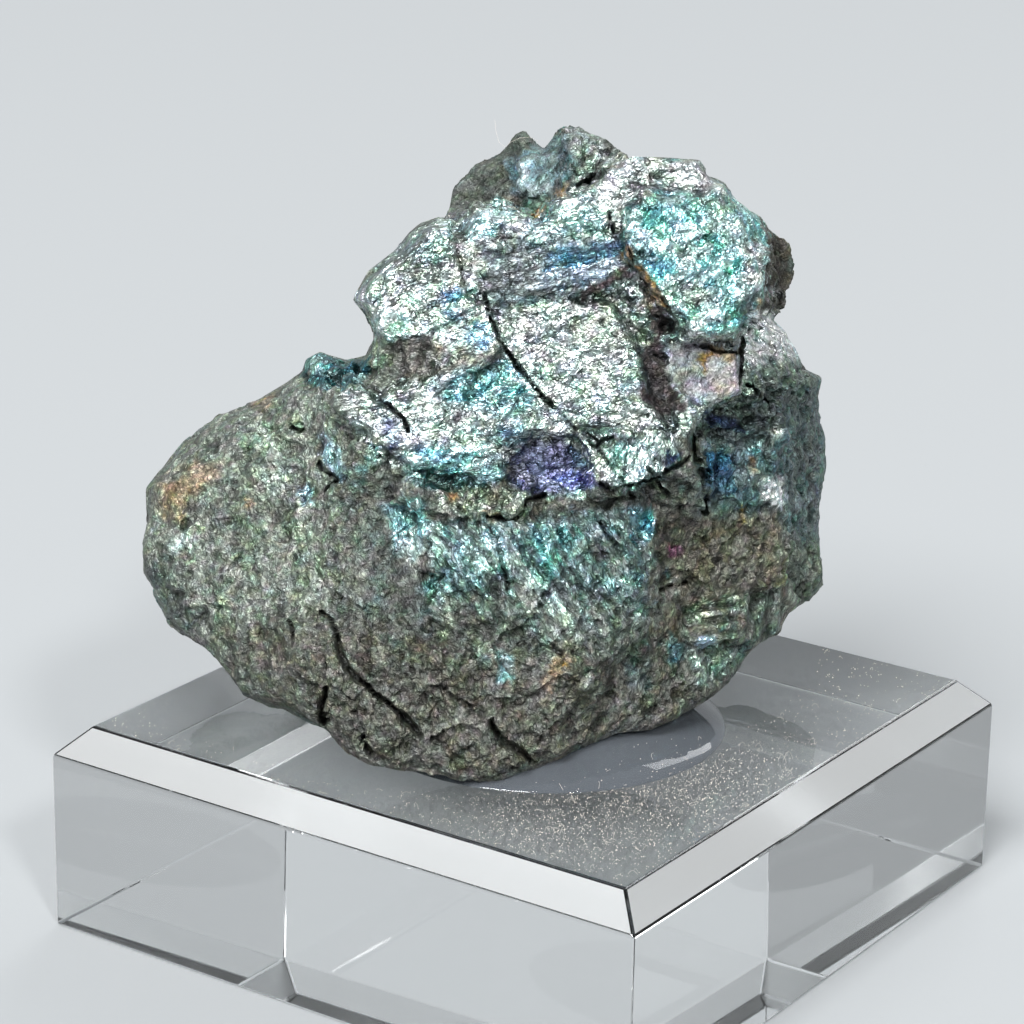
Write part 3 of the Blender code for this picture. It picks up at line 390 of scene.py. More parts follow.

# Patches of tarnish, and a few of painted shade, each laid over the ones before: colour, how bright its
# flakes are, how much it covers, the softness of its edge in millimetres, and its outline (right, up)
PATCHES = {
    "lobe_ground": ("grey_green", 0.35, 1, 3, [
        (-23.5, 20.5), (-11.2, 20.4), (-10.6, 15.6), (-10.8, 10.0), (-11.2, 4.4), (-13.0, -4.0),
        (-23.1, -4.2)]),
    "lobe_low_edge": ("ink", 0.45, 0.75, 1.5, [
        (-22.8, 7.9), (-21.1, 7.6), (-19.6, 4.8), (-17.1, 2.1), (-13.1, -0.4), (-13.6, -1.8),
        (-18.7, 0.4), (-22.7, 4.2)]),
    "centre_ground": ("slate", 0.28, 0.8, 2, [
        (-11.6, 11.7), (-6.6, 11.2), (-5.4, 5.6), (-6.4, 2.8), (-10.9, 3.3)]),
    "foot_ground": ("grey_brown", 0.28, 1, 3, [
        (-18.8, 3.2), (-11.5, 5.0), (-5.9, 3.4), (-0.8, 2.4), (5.9, 3.0), (10.4, 0.9), (6.0, -3.1),
        (-0.7, -5.5), (-10.8, -5.1)]),
    "right_ground": ("bottle", 0.35, 1, 1.5, [
        (9.0, 17.1), (16.2, 18.9), (17.0, 8.3), (13.6, 8.2), (9.1, 10.4)]),
    "right_teal": ("dark_teal", 0.35, 0.6, 0.8, [
        (9.4, 16.0), (14.1, 15.5), (14.7, 10.2), (10.0, 10.4)]),
    "far_right": ("far_teal", 0.25, 0.8, 0.6, [(13.8, 18.0), (16.1, 18.4), (16.3, 9.1), (14.2, 9.1)]),
    "brown_ground": ("umber", 0.3, 1, 1, [
        (6.6, 11.4), (9.1, 10.6), (13.6, 11.0), (14.5, 8.2), (13.1, 6.0), (8.6, 5.9), (6.6, 8.1)]),
    "plate_ground": ("silver", 1, 1, 0.25, [
        (-5.4, 27.4), (-7.4, 26.2), (-9.5, 24.1), (-10.4, 22.5), (-9.6, 21.3), (-9.3, 20.2),
        (-6.2, 20.3), (-5.9, 18.4), (-9.4, 17.4), (-11.3, 17.0), (-10.8, 15.9), (-9.9, 14.5),
        (-8.6, 13.3), (-7.7, 12.9), (-6.1, 13.6), (-2.1, 13.0), (1.2, 14.7), (5.0, 12.1), (7.1, 13.1),
        (8.9, 15.7), (11.3, 17.1), (14.6, 18.8), (14.5, 20.3), (12.8, 21.9), (12.6, 27.0),
        (10.8, 28.6), (8.8, 30.5), (5.0, 30.6), (3.4, 29.5), (1.0, 28.3), (-0.4, 27.2), (-2.1, 27.8),
        (-3.5, 27.9)]),
    "plate_top_right": ("lilac_silver", 0.9, 0.8, 0.6, [
        (3.2, 30.2), (5.0, 30.6), (8.9, 30.5), (10.4, 29.0), (11.6, 27.5), (11.2, 26.2), (8.8, 28.7),
        (6.6, 28.2), (4.9, 27.4), (3.5, 27.9)]),
    "plate_left_mint": ("mint", 0.85, 0.9, 0.3, [
        (-9.7, 21.9), (-8.3, 21.7), (-7.3, 21.4), (-7.8, 20.4), (-9.1, 20.2), (-9.6, 20.9)]),
    "plate_left_lilac": ("lilac_silver", 0.8, 0.8, 0.3, [
        (-10.4, 22.5), (-9.8, 23.2), (-9.4, 22.8), (-9.8, 21.7)]),
    "plate_spot_mint": ("mint", 0.8, 0.6, 0.5, [
        (-6.6, 25.8), (-5.2, 25.9), (-5.0, 24.6), (-6.4, 24.7)]),
    "plate_left_grey": ("warm_grey", 0.6, 0.55, 0.5, [
        (-8.4, 24.5), (-7.4, 25.2), (-6.6, 24.6), (-6.8, 23.3), (-8.0, 23.4)]),
    "blue_fleck": ("steel_blue", 0.7, 1, 0.12, [
        (-6.3, 22.0), (-5.6, 22.8), (-4.6, 23.4), (-4.2, 23.2), (-4.7, 22.6), (-5.4, 22.2)]),
    "teal_fleck": ("teal", 0.6, 0.9, 0.2, [(-5.4, 22.0), (-4.6, 22.2), (-4.4, 21.2), (-5.1, 20.9)]),
    "sky_patch": ("sky", 0.9, 0.9, 0.3, [
        (-4.6, 21.2), (-3.4, 21.6), (-2.7, 20.8), (-2.6, 19.9), (-3.6, 19.7), (-4.4, 20.1)]),
    "olive_streak": ("olive_grey", 0.6, 0.75, 0.4, [
        (-6.5, 19.8), (-4.4, 19.9), (-2.4, 19.6), (-1.9, 18.9), (-3.9, 18.3), (-5.8, 18.1)]),
    "cyan_top": ("pale_cyan", 0.95, 0.95, 0.4, [
        (-3.2, 27.3), (-2.7, 28.1), (-1.9, 27.8), (-1.4, 27.4), (-2.3, 26.8), (-3.1, 26.0),
        (-4.1, 25.8), (-4.7, 26.5), (-4.5, 27.1)]),
    "warm_strip": ("warm_grey", 0.7, 0.8, 0.4, [
        (-4.8, 25.9), (-3.5, 25.9), (-3.1, 24.6), (-3.4, 23.1), (-4.3, 23.0), (-4.7, 24.6)]),
    "dark_strip": ("iron", 0.55, 0.8, 0.5, [
        (-3.4, 25.8), (-1.2, 26.3), (-0.3, 25.3), (-0.5, 22.8), (-2.0, 22.3), (-3.1, 23.0)]),
    "band_grey": ("band_grey", 0.45, 0.9, 0.4, [
        (-3.5, 25.4), (-1.2, 25.9), (1.0, 25.9), (3.2, 26.3), (5.1, 26.0), (5.2, 24.8), (3.3, 23.5),
        (1.9, 22.6), (-2.0, 22.2), (-3.2, 22.9)]),
    "blue_band": ("steel_blue", 0.55, 0.9, 0.4, [
        (-0.1, 24.9), (1.0, 25.6), (3.7, 26.0), (4.9, 25.8), (5.1, 25.0), (3.6, 23.8), (1.4, 23.2),
        (-0.1, 23.0)]),
    "blue_band_streak": ("sky", 0.95, 0.8, 0.25, [
        (0.2, 24.3), (2.7, 25.4), (4.3, 25.7), (4.1, 25.3), (2.4, 24.5), (0.6, 23.7)]),
    "pale_top": ("pale_cyan", 0.9, 0.5, 0.6, [
        (-1.3, 27.0), (1.0, 27.9), (2.6, 28.4), (3.4, 27.4), (3.2, 26.2), (1.0, 25.9), (-0.7, 25.5)]),
    "mid_warm": ("warm_grey", 0.75, 0.65, 0.7, [
        (1.1, 22.3), (3.9, 22.7), (5.5, 22.6), (6.0, 20.1), (4.5, 19.3), (1.9, 20.3)]),
    "mid_green": ("sage", 0.7, 0.55, 0.4, [(4.6, 18.9), (6.2, 19.3), (6.5, 18.1), (5.2, 17.6)]),
    "mid_lilac": ("lilac_silver", 0.85, 0.5, 0.6, [
        (-1.2, 21.4), (1.1, 20.9), (1.7, 18.5), (0.3, 18.5), (-1.4, 20.0)]),
    "turquoise_flakes": ("turquoise", 0.95, 0.95, 0.35, [
        (-5.6, 17.3), (-4.9, 18.4), (-3.4, 18.8), (-2.2, 19.4), (-1.0, 18.5), (-0.3, 17.4),
        (-0.6, 16.3), (-2.2, 16.0), (-3.9, 16.2), (-5.1, 16.1)]),
    "teal_flakes": ("teal", 0.8, 0.7, 0.3, [
        (-6.3, 18.1), (-5.3, 18.4), (-4.9, 17.5), (-5.6, 16.8), (-6.2, 17.1)]),
    "silver_left": ("silver", 0.95, 0.9, 0.3, [
        (-11.4, 17.0), (-9.4, 17.4), (-7.9, 15.8), (-7.5, 14.1), (-8.6, 13.4), (-10.0, 14.6),
        (-10.8, 16.1)]),
    "blue_left": ("indigo_grey", 0.6, 0.95, 0.3, [
        (-8.9, 15.6), (-8.0, 15.8), (-7.5, 14.8), (-7.8, 14.0), (-8.6, 14.2)]),
    "silver_mid": ("silver", 0.95, 0.8, 0.4, [
        (-7.2, 15.8), (-5.0, 16.2), (-3.3, 15.8), (-3.2, 14.6), (-5.0, 14.3), (-6.9, 14.7)]),
    "turquoise_shelf": ("turquoise", 0.8, 0.9, 0.5, [
        (-7.9, 13.9), (-5.5, 14.4), (-2.7, 14.3), (-1.7, 13.4), (-2.1, 12.2), (-4.9, 11.8),
        (-6.9, 12.1)]),
    "teal_cap": ("teal", 0.65, 0.9, 0.3, [
        (-2.9, 14.6), (-2.2, 15.4), (-1.1, 15.6), (-0.2, 14.9), (-1.0, 14.3)]),
    "violet_top": ("indigo", 0.55, 1, 0.25, [
        (-1.7, 13.4), (-0.9, 14.5), (0.4, 14.9), (1.9, 14.8), (2.7, 14.1), (2.5, 13.3), (1.0, 13.3),
        (-0.5, 12.7), (-1.5, 12.5)]),
    "violet_low": ("violet", 0.75, 1, 0.3, [
        (-1.5, 12.5), (-0.5, 12.8), (1.0, 13.3), (2.9, 13.1), (3.7, 12.1), (2.4, 11.7), (0.1, 11.7),
        (-1.2, 11.8)]),
    "violet_spot": ("sky", 0.9, 0.9, 0.2, [(1.9, 14.4), (2.5, 14.4), (2.8, 13.5), (2.0, 13.4)]),
    "wedge": ("silver", 1, 1, 0.12, [
        (2.0, 15.4), (2.9, 15.0), (4.7, 12.6), (4.9, 12.0), (3.6, 12.4), (2.6, 13.5)]),
    "fan_mint": ("mint", 0.95, 0.95, 0.25, [
        (3.4, 14.1), (4.1, 14.5), (5.7, 14.8), (6.9, 15.3), (7.2, 14.5), (7.0, 13.0), (5.8, 12.2),
        (4.9, 12.1)]),
    "fan_aqua": ("aqua", 0.9, 1, 0.12, [
        (3.8, 14.1), (4.2, 14.5), (4.9, 14.4), (5.0, 13.8), (4.5, 13.3), (3.9, 13.5)]),
    "fan_navy": ("navy", 0.5, 1, 0.12, [(7.2, 14.5), (8.1, 14.2), (7.8, 13.6), (7.2, 13.1)]),
    "green_edge": ("sage", 0.8, 0.7, 0.3, [
        (5.7, 16.0), (7.2, 15.9), (8.7, 15.7), (7.9, 14.8), (6.8, 15.3)]),
    "block_ground": ("turquoise_green", 0.9, 1, 0.25, [
        (4.6, 27.4), (5.6, 28.5), (8.8, 28.8), (10.6, 28.8), (12.3, 27.5), (12.6, 22.8), (11.6, 21.1),
        (8.4, 20.7), (7.1, 22.3), (5.8, 24.0), (4.7, 25.3)]),
    "block_cyan": ("cyan", 0.95, 0.85, 0.5, [
        (4.7, 26.2), (5.8, 26.4), (7.1, 24.8), (7.3, 23.7), (6.1, 24.2), (4.9, 25.3)]),
    "block_blue_streak": ("steel_blue", 0.8, 0.8, 0.15, [
        (5.3, 26.1), (5.6, 26.2), (6.6, 24.9), (7.2, 24.3), (6.9, 24.2), (5.7, 25.1)]),
    "block_green_top": ("sage_light", 0.85, 0.8, 0.5, [
        (8.8, 28.7), (10.3, 28.9), (10.9, 27.8), (10.1, 27.1), (9.0, 27.6)]),
    "block_green_low": ("sage_light", 0.9, 0.8, 0.4, [
        (6.4, 23.5), (7.5, 24.0), (9.1, 23.8), (9.6, 22.7), (8.4, 22.0), (7.3, 22.4)]),
    "block_white": ("silver", 1, 0.8, 0.4, [
        (7.4, 26.0), (8.3, 26.3), (8.5, 25.1), (7.9, 24.8), (7.3, 25.2)]),
    "block_cyan_top": ("cyan", 0.9, 0.7, 0.5, [
        (6.7, 27.9), (7.9, 28.3), (8.3, 27.0), (7.5, 26.0), (6.8, 26.7)]),
    "block_cyan_right": ("cyan", 0.95, 0.7, 0.3, [
        (10.1, 24.3), (11.0, 24.3), (11.1, 23.5), (10.3, 23.4)]),
    "block_white_top": ("silver", 0.95, 0.6, 0.4, [
        (9.3, 27.2), (11.1, 27.5), (11.4, 26.7), (10.2, 26.3), (9.4, 26.5)]),
    "block_right": ("lilac_silver", 0.85, 0.9, 0.3, [
        (11.3, 25.8), (12.4, 26.1), (12.6, 23.6), (11.8, 23.3), (11.3, 24.4)]),
    "block_low_green": ("bottle", 0.45, 0.85, 0.25, [
        (11.0, 23.2), (11.9, 23.6), (12.4, 23.2), (12.5, 22.1), (11.4, 21.7), (10.9, 22.4)]),
    "under_block": ("silver", 0.95, 0.7, 0.4, [
        (7.1, 22.2), (8.3, 22.3), (10.9, 21.5), (11.4, 20.5), (8.9, 20.3), (7.4, 20.4)]),
    "under_block_cyan": ("aqua", 0.9, 0.8, 0.25, [(8.0, 22.1), (8.9, 22.2), (9.0, 21.2), (8.4, 20.9)]),
    # Partly painted shadow: the dark gold-brown line along the raised block's lower-left edge stands for the
    # shadow it casts, over a gold-brown tarnish there
    "block_rim_and_shadow": ("gold_brown_and_shadow", 0.3, 1, 0.1, [
        (4.5, 25.5), (4.9, 25.2), (6.0, 24.0), (7.3, 22.3), (7.0, 22.1), (5.6, 23.6), (4.6, 25.0)]),
    "ridge_brown": ("brown_purple", 0.35, 1, 0.12, [
        (2.1, 22.2), (2.3, 22.8), (3.3, 23.5), (4.3, 24.2), (5.1, 24.5), (6.0, 23.6), (6.4, 22.8),
        (6.0, 22.6), (5.3, 23.4), (4.5, 23.7), (3.5, 23.0), (2.6, 22.4)]),
    "ridge_white": ("silver", 1, 0.8, 0.12, [(4.8, 24.2), (5.2, 24.3), (5.7, 23.5), (5.4, 23.4)]),
    "pit_tan": ("tan_grey", 0.45, 0.95, 0.2, [
        (5.2, 22.8), (5.8, 23.2), (6.4, 22.8), (6.2, 22.1), (5.4, 22.2)]),
    # Painted shade: the dark brown along the pit channel stands for the shade in it
    "pit_channel_shade": ("pit_painted_shade", 0.2, 1, 0.2, [
        (6.0, 22.3), (6.7, 22.6), (7.1, 21.5), (7.0, 19.9), (7.3, 17.9), (8.4, 17.1), (8.2, 16.3),
        (6.8, 16.3), (5.9, 17.0), (6.2, 17.9), (5.6, 19.8), (6.4, 20.5)]),
    "pit_grain": ("brown_purple", 0.4, 0.9, 0.25, [
        (5.6, 17.9), (7.0, 18.3), (7.6, 17.3), (7.4, 16.4), (6.2, 16.4), (5.6, 17.0)]),
    "lilac_face": ("lilac_grey", 0.2, 1, 0.12, [
        (7.1, 19.9), (7.6, 20.4), (8.9, 20.3), (10.2, 19.9), (11.3, 19.6), (11.3, 18.1), (10.7, 17.3),
        (9.6, 17.0), (8.3, 17.0), (7.4, 17.7)]),
    "lilac_pink": ("pink_grey", 0.2, 0.7, 0.3, [
        (9.4, 18.7), (10.6, 18.8), (11.1, 17.9), (10.0, 17.4), (9.3, 17.9)]),
    "lilac_blue": ("blue_grey", 0.45, 0.7, 0.3, [(8.3, 17.5), (9.3, 17.5), (9.4, 16.8), (8.6, 16.6)]),
    "ochre_stain": ("ochre", 0.15, 1, 0.08, [
        (8.7, 19.2), (9.3, 19.8), (10.2, 20.0), (10.5, 19.7), (10.3, 19.2), (9.7, 19.5), (9.3, 19.2),
        (9.1, 18.8)]),
    "ochre_drip": ("ochre", 0.15, 0.9, 0.08, [(9.0, 19.0), (9.2, 19.0), (9.4, 18.4), (9.2, 18.2)]),
    "ochre_bar": ("ochre", 0.12, 1, 0.08, [(10.2, 19.6), (11.2, 20.1), (11.2, 19.8), (10.4, 19.2)]),
    "streaked_white": ("white_silver", 1, 1, 0.15, [
        (11.2, 20.5), (11.8, 22.1), (13.1, 22.4), (14.5, 20.3), (14.9, 19.3), (13.4, 19.5),
        (12.4, 19.2), (11.3, 19.4)]),
    "streaked_low": ("bottle", 0.5, 0.8, 0.3, [
        (11.4, 19.0), (12.9, 19.3), (14.9, 19.0), (14.6, 17.9), (12.5, 17.8), (11.4, 18.0)]),
    "side_green": ("sage", 0.55, 0.6, 0.4, [
        (9.0, 16.8), (11.3, 17.6), (12.9, 17.3), (12.4, 16.0), (9.6, 16.0)]),
    "side_dark": ("ink", 0.4, 0.8, 0.4, [
        (11.3, 17.8), (12.8, 17.6), (14.6, 17.2), (14.1, 15.5), (11.8, 15.5), (11.1, 16.7)]),
    "navy_top": ("navy", 0.5, 1, 0.25, [(9.1, 16.3), (11.3, 16.1), (11.4, 15.3), (9.7, 15.4)]),
    "pale_blue_chip": ("blue_grey", 0.7, 0.9, 0.1, [
        (9.3, 15.0), (9.8, 15.2), (9.7, 14.4), (9.3, 14.5)]),
    "blue_low": ("deep_blue", 0.6, 1, 0.3, [
        (9.4, 14.0), (10.7, 14.2), (11.2, 13.2), (10.9, 12.0), (9.8, 11.5), (9.4, 12.6)]),
    "teal_low": ("dark_teal", 0.5, 0.9, 0.4, [
        (10.8, 14.9), (11.6, 13.7), (12.0, 12.7), (11.2, 11.7), (10.8, 12.6)]),
    "turquoise_crystal": ("turquoise_green", 0.8, 0.95, 0.12, [
        (11.3, 14.8), (11.8, 15.0), (12.5, 14.6), (12.3, 13.9), (11.4, 14.0)]),
    "orange_spot": ("rust", 0.3, 0.9, 0.15, [(11.6, 13.8), (12.2, 13.7), (12.2, 12.9), (11.8, 12.9)]),
    "white_crystals": ("white_silver", 0.8, 0.95, 0.25, [
        (12.2, 12.6), (13.1, 13.0), (13.9, 12.4), (14.1, 11.3), (13.4, 10.9), (12.7, 11.6)]),
    "white_crystals_top": ("white_silver", 0.9, 0.7, 0.2, [
        (12.7, 15.5), (13.4, 15.8), (13.6, 14.9), (13.1, 14.6)]),
    "gold_spot": ("gold", 0.4, 0.9, 0.12, [(11.3, 11.2), (11.7, 11.3), (11.7, 10.5), (11.5, 10.5)]),
    "side_piece": ("umber_dark", 0.18, 1, 0.25, [
        (12.4, 27.6), (14.7, 27.2), (14.8, 22.8), (14.0, 21.5), (12.8, 22.1), (12.5, 23.3)]),
    "side_piece_tan": ("tan", 0.4, 0.9, 0.1, [(12.0, 23.0), (12.5, 22.9), (12.5, 22.1), (12.2, 22.0)]),
    "side_piece_purple": ("lilac_silver", 0.8, 0.9, 0.15, [
        (12.7, 23.4), (13.2, 23.4), (13.2, 22.8), (12.8, 22.8)]),
    "olive_patch": ("olive", 0.35, 1, 0.25, [
        (-9.7, 20.1), (-7.7, 20.3), (-7.2, 19.5), (-7.6, 18.4), (-8.7, 17.2), (-9.7, 17.4),
        (-10.0, 19.0)]),
    "brown_patch": ("brown", 0.45, 0.85, 0.5, [
        (-7.6, 20.2), (-6.2, 20.4), (-5.3, 19.9), (-3.9, 19.7), (-2.2, 19.5), (-2.2, 18.9),
        (-3.9, 18.4), (-5.6, 18.2), (-7.1, 17.8), (-7.8, 18.7)]),
    "lobe_knob": ("dark_turquoise", 0.6, 1, 0.2, [
        (-13.3, 19.5), (-10.9, 19.5), (-9.6, 18.9), (-9.7, 17.9), (-10.9, 17.3), (-13.1, 17.4)]),
    "lobe_knob_light": ("aqua", 0.7, 0.8, 0.15, [
        (-13.2, 18.8), (-12.2, 19.2), (-11.9, 18.5), (-12.8, 18.1)]),
    "knob_left": ("knob_moss", 0.15, 1, 0.3, [
        (-5.7, 26.8), (-5.3, 29.2), (-2.5, 31.9), (-0.9, 32.5), (-0.8, 30.6), (-1.7, 28.7),
        (-3.4, 27.7)]),
    "knob_slab": ("knob_teal", 0.06, 1, 0.2, [
        (-1.9, 30.2), (-0.4, 31.4), (1.6, 32.2), (1.8, 30.1), (1.1, 28.6), (0.1, 28.0), (-1.4, 28.3)]),
    "knob_pale": ("pale_blue", 0.2, 0.8, 0.2, [
        (-1.8, 30.0), (-0.8, 30.4), (-0.3, 29.7), (-0.8, 28.9), (-1.6, 29.1)]),
    "knob_hollow": ("hollow_green", 0.1, 1, 0.2, [
        (-1.4, 28.4), (0.2, 28.7), (0.3, 27.5), (-0.5, 27.2), (-1.3, 27.6)]),
    "knob_flake": ("pale_flake", 0.55, 0.9, 0.2, [
        (1.2, 32.4), (2.6, 31.9), (4.2, 31.0), (4.7, 30.5), (3.4, 29.8), (2.5, 29.1), (1.3, 28.8),
        (1.7, 30.4)]),
    "knob_flake_green": ("sage", 0.6, 0.6, 0.3, [(1.8, 31.0), (2.9, 30.7), (2.7, 29.5), (1.7, 29.3)]),
    "knob_orange": ("bright_orange", 0.2, 1, 0.08, [
        (-0.5, 27.7), (-0.1, 27.7), (0.0, 27.2), (-0.4, 27.2)]),
    "knob_orange_two": ("bright_orange", 0.2, 1, 0.08, [
        (0.9, 28.9), (1.3, 28.9), (1.3, 28.5), (1.0, 28.4)]),
    "lobe_rust": ("orange", 0.25, 0.5, 0.8, [
        (-21.3, 12.1), (-18.1, 13.2), (-17.7, 12.3), (-19.5, 11.0), (-20.0, 9.9), (-21.1, 9.9)]),
    "lobe_rust_top": ("orange", 0.25, 0.4, 0.5, [
        (-16.2, 16.9), (-14.8, 17.1), (-15.0, 16.2), (-16.1, 16.0)]),
    "lobe_mint": ("sage_light", 0.5, 0.7, 0.6, [
        (-16.2, 15.1), (-14.4, 15.6), (-13.9, 14.2), (-15.3, 13.5), (-16.0, 14.0)]),
    "lobe_silver": ("silver", 0.7, 0.5, 0.6, [
        (-15.9, 12.7), (-13.9, 12.9), (-13.5, 11.7), (-15.1, 11.2)]),
    "lobe_rust_pit": ("bright_rust", 0.3, 0.9, 0.12, [
        (-16.3, 11.1), (-15.9, 11.2), (-15.9, 10.5), (-16.2, 10.4)]),
    "lobe_pale_streak": ("sage_light", 0.55, 0.65, 0.6, [
        (-14.3, 10.4), (-13.1, 10.6), (-12.0, 7.8), (-12.2, 7.1), (-13.5, 7.7)]),
    "lobe_pale_grains": ("silver", 0.6, 0.6, 0.5, [
        (-20.8, 9.0), (-19.3, 9.4), (-19.0, 8.3), (-20.4, 8.1)]),
    "blue_ridge": ("pale_blue", 0.8, 0.95, 0.2, [
        (-12.4, 14.5), (-11.8, 14.9), (-11.2, 13.8), (-10.8, 12.6), (-11.2, 12.2), (-11.7, 12.8),
        (-12.1, 13.3)]),
    "blue_crystal": ("pale_blue", 0.7, 0.85, 0.25, [
        (-13.5, 11.9), (-13.0, 12.0), (-12.6, 10.9), (-13.1, 10.6), (-13.5, 11.1)]),
    "lobe_violet": ("lilac_grey", 0.5, 0.5, 0.6, [
        (-14.7, 12.3), (-13.3, 12.3), (-13.3, 11.1), (-14.3, 10.9)]),
    "cyan_crystals": ("pale_cyan", 0.75, 0.8, 0.6, [
        (-8.6, 10.9), (-6.6, 11.3), (-6.2, 9.0), (-7.0, 7.5), (-8.1, 8.7)]),
    "ledge": ("olive_light", 0.6, 1, 0.3, [
        (-6.0, 11.8), (-4.9, 12.1), (-0.3, 12.1), (-0.4, 11.2), (-1.1, 10.4), (-4.9, 10.5),
        (-5.8, 11.0)]),
    "ledge_rust": ("orange", 0.3, 0.8, 0.15, [(-5.1, 11.6), (-4.5, 11.6), (-4.2, 11.2), (-4.8, 11.0)]),
    "ledge_rust_two": ("bright_rust", 0.3, 0.8, 0.12, [
        (-2.9, 10.5), (-2.3, 10.6), (-2.1, 10.2), (-2.8, 10.2)]),
    "ledge_mint": ("mint", 0.85, 0.85, 0.2, [
        (0.2, 11.7), (1.2, 11.9), (2.7, 11.8), (2.4, 11.4), (0.8, 11.2)]),
    "fan_ground": ("fan_teal", 0.5, 1, 0.8, [
        (-6.3, 10.1), (-1.0, 10.1), (5.7, 10.8), (6.6, 8.1), (4.7, 3.6), (1.4, 3.0), (-3.1, 4.6),
        (-5.4, 6.2)]),
    "fan_dark_spot": ("ink", 0.35, 0.9, 0.4, [(2.4, 9.1), (4.2, 8.9), (4.8, 8.1), (3.0, 7.6)]),
    "fan_dark_spot_two": ("ink", 0.35, 0.7, 0.3, [(-2.9, 7.4), (-1.8, 7.3), (-1.6, 6.2), (-2.5, 6.3)]),
    "fan_bright": ("cyan_pale", 0.9, 0.9, 0.2, [(0.9, 10.1), (1.6, 10.2), (2.0, 9.4), (1.4, 9.1)]),
    "fan_blade": ("cyan_pale", 0.85, 0.8, 0.3, [
        (-3.3, 9.7), (-2.6, 9.7), (-1.4, 7.5), (-1.8, 7.1), (-2.6, 8.2)]),
    "fan_blade_two": ("cyan_pale", 0.85, 0.75, 0.3, [(-0.6, 9.4), (0.1, 9.4), (1.1, 7.2), (0.7, 6.8)]),
    "fan_blade_three": ("cyan_pale", 0.8, 0.7, 0.35, [
        (-3.3, 6.4), (-2.0, 6.5), (-0.4, 5.1), (-0.9, 4.3), (-2.2, 5.4)]),
    "flakes_blue": ("sky_light", 0.95, 0.95, 0.25, [
        (5.2, 10.8), (6.4, 11.0), (6.7, 9.8), (6.1, 8.5), (5.4, 9.2)]),
    "fan_right": ("fan_teal", 0.7, 0.8, 0.6, [
        (2.7, 7.7), (5.8, 8.3), (6.4, 5.8), (5.6, 4.6), (3.6, 5.2)]),
    "fan_right_pale": ("mint", 0.8, 0.7, 0.25, [(4.8, 5.9), (5.5, 5.8), (5.9, 4.9), (5.5, 4.6)]),
    "yellow_olive": ("olive_light", 0.6, 0.9, 0.4, [
        (-5.8, 5.6), (-5.0, 6.4), (-4.4, 5.1), (-4.3, 4.0), (-5.3, 3.4), (-5.7, 4.4)]),
    "yellow_cyan": ("pale_cyan", 0.75, 0.8, 0.3, [(-6.2, 6.6), (-5.5, 6.8), (-5.0, 5.6), (-5.5, 5.3)]),
    "orange_stain": ("orange", 0.2, 0.95, 0.2, [
        (0.6, 2.7), (1.9, 3.3), (3.9, 3.4), (3.7, 3.0), (2.2, 2.6), (1.4, 1.7), (1.0, 0.7), (0.3, 0.8),
        (0.7, 1.9)]),
    "magenta_speck": ("magenta", 0.4, 1, 0.1, [(7.5, 8.8), (8.2, 8.9), (8.2, 8.3), (7.6, 8.2)]),
    "brown_olive": ("olive_brown", 0.35, 0.7, 0.6, [
        (8.0, 8.4), (9.1, 9.0), (10.0, 8.1), (9.2, 6.4), (8.2, 7.0)]),
    "ridges_pale": ("sage_light", 0.8, 0.9, 0.2, [
        (8.1, 5.6), (11.3, 6.2), (11.5, 5.6), (11.3, 4.7), (8.3, 4.3)]),
    "ridges_yellow": ("yellow_green", 0.85, 0.9, 0.15, [
        (9.2, 3.8), (11.2, 4.4), (11.3, 3.8), (9.7, 3.3)]),
    "ridges_blue": ("pale_blue", 0.8, 0.8, 0.2, [(9.0, 3.9), (10.1, 4.0), (10.1, 3.3), (9.1, 3.2)]),
    "ribs": ("sage", 0.6, 0.9, 0.3, [(11.6, 6.2), (13.8, 6.6), (14.0, 5.4), (13.7, 4.1), (12.0, 3.5)]),
    "mint_flakes": ("mint_green", 0.75, 0.9, 0.3, [
        (8.7, 3.0), (11.7, 3.5), (11.6, 2.3), (10.2, 1.2), (8.9, 1.2)]),
    "teal_patch": ("dark_turquoise", 0.5, 0.9, 0.25, [(7.2, 3.6), (8.3, 3.5), (8.5, 2.6), (7.6, 2.4)]),
    "bump": ("moss", 0.4, 0.9, 0.4, [(13.9, 9.3), (16.1, 9.6), (16.3, 6.6), (15.1, 5.7), (14.0, 6.0)]),
    "low_teal": ("dark_turquoise", 0.45, 0.6, 0.4, [(4.6, 3.0), (5.9, 2.8), (6.4, 0.8), (5.3, 0.9)]),
    "low_crystals": ("pale_cyan", 0.6, 0.6, 0.3, [(-2.4, 2.6), (-1.5, 2.8), (-1.2, 1.3), (-2.0, 1.2)]),
    "low_mint": ("sage_light", 0.6, 0.7, 0.3, [(2.6, 1.7), (3.7, 2.0), (4.0, 0.8), (3.1, 0.3)]),
    "fan_slate": ("slate", 0.25, 0.75, 0.5, [
        (2.1, 9.6), (3.5, 9.9), (5.8, 9.2), (5.8, 7.4), (3.6, 6.9), (2.1, 8.0)]),
    "fan_fade": ("grey_green", 0.35, 0.55, 0.9, [
        (-5.4, 5.6), (-2.0, 6.3), (1.4, 5.1), (5.8, 5.8), (5.9, 2.5), (-0.8, 2.4), (-4.8, 3.4)]),
    "dark_grain": ("dark_grain", 0.3, 0.95, 0.3, [
        (6.6, 10.2), (7.3, 11.1), (8.2, 11.0), (8.8, 10.0), (8.0, 9.1), (6.9, 8.8)]),
    "fan_olive": ("fan_olive", 0.35, 0.9, 0.6, [
        (-3.7, 6.1), (-2.0, 6.8), (-0.3, 6.6), (0.7, 5.7), (2.2, 5.8), (3.6, 6.4), (4.6, 6.0),
        (5.8, 5.6), (5.9, 2.5), (-0.8, 2.4), (-4.8, 3.4), (-5.4, 5.1)]),
    "fan_pale_chip": ("mint", 0.8, 0.9, 0.15, [
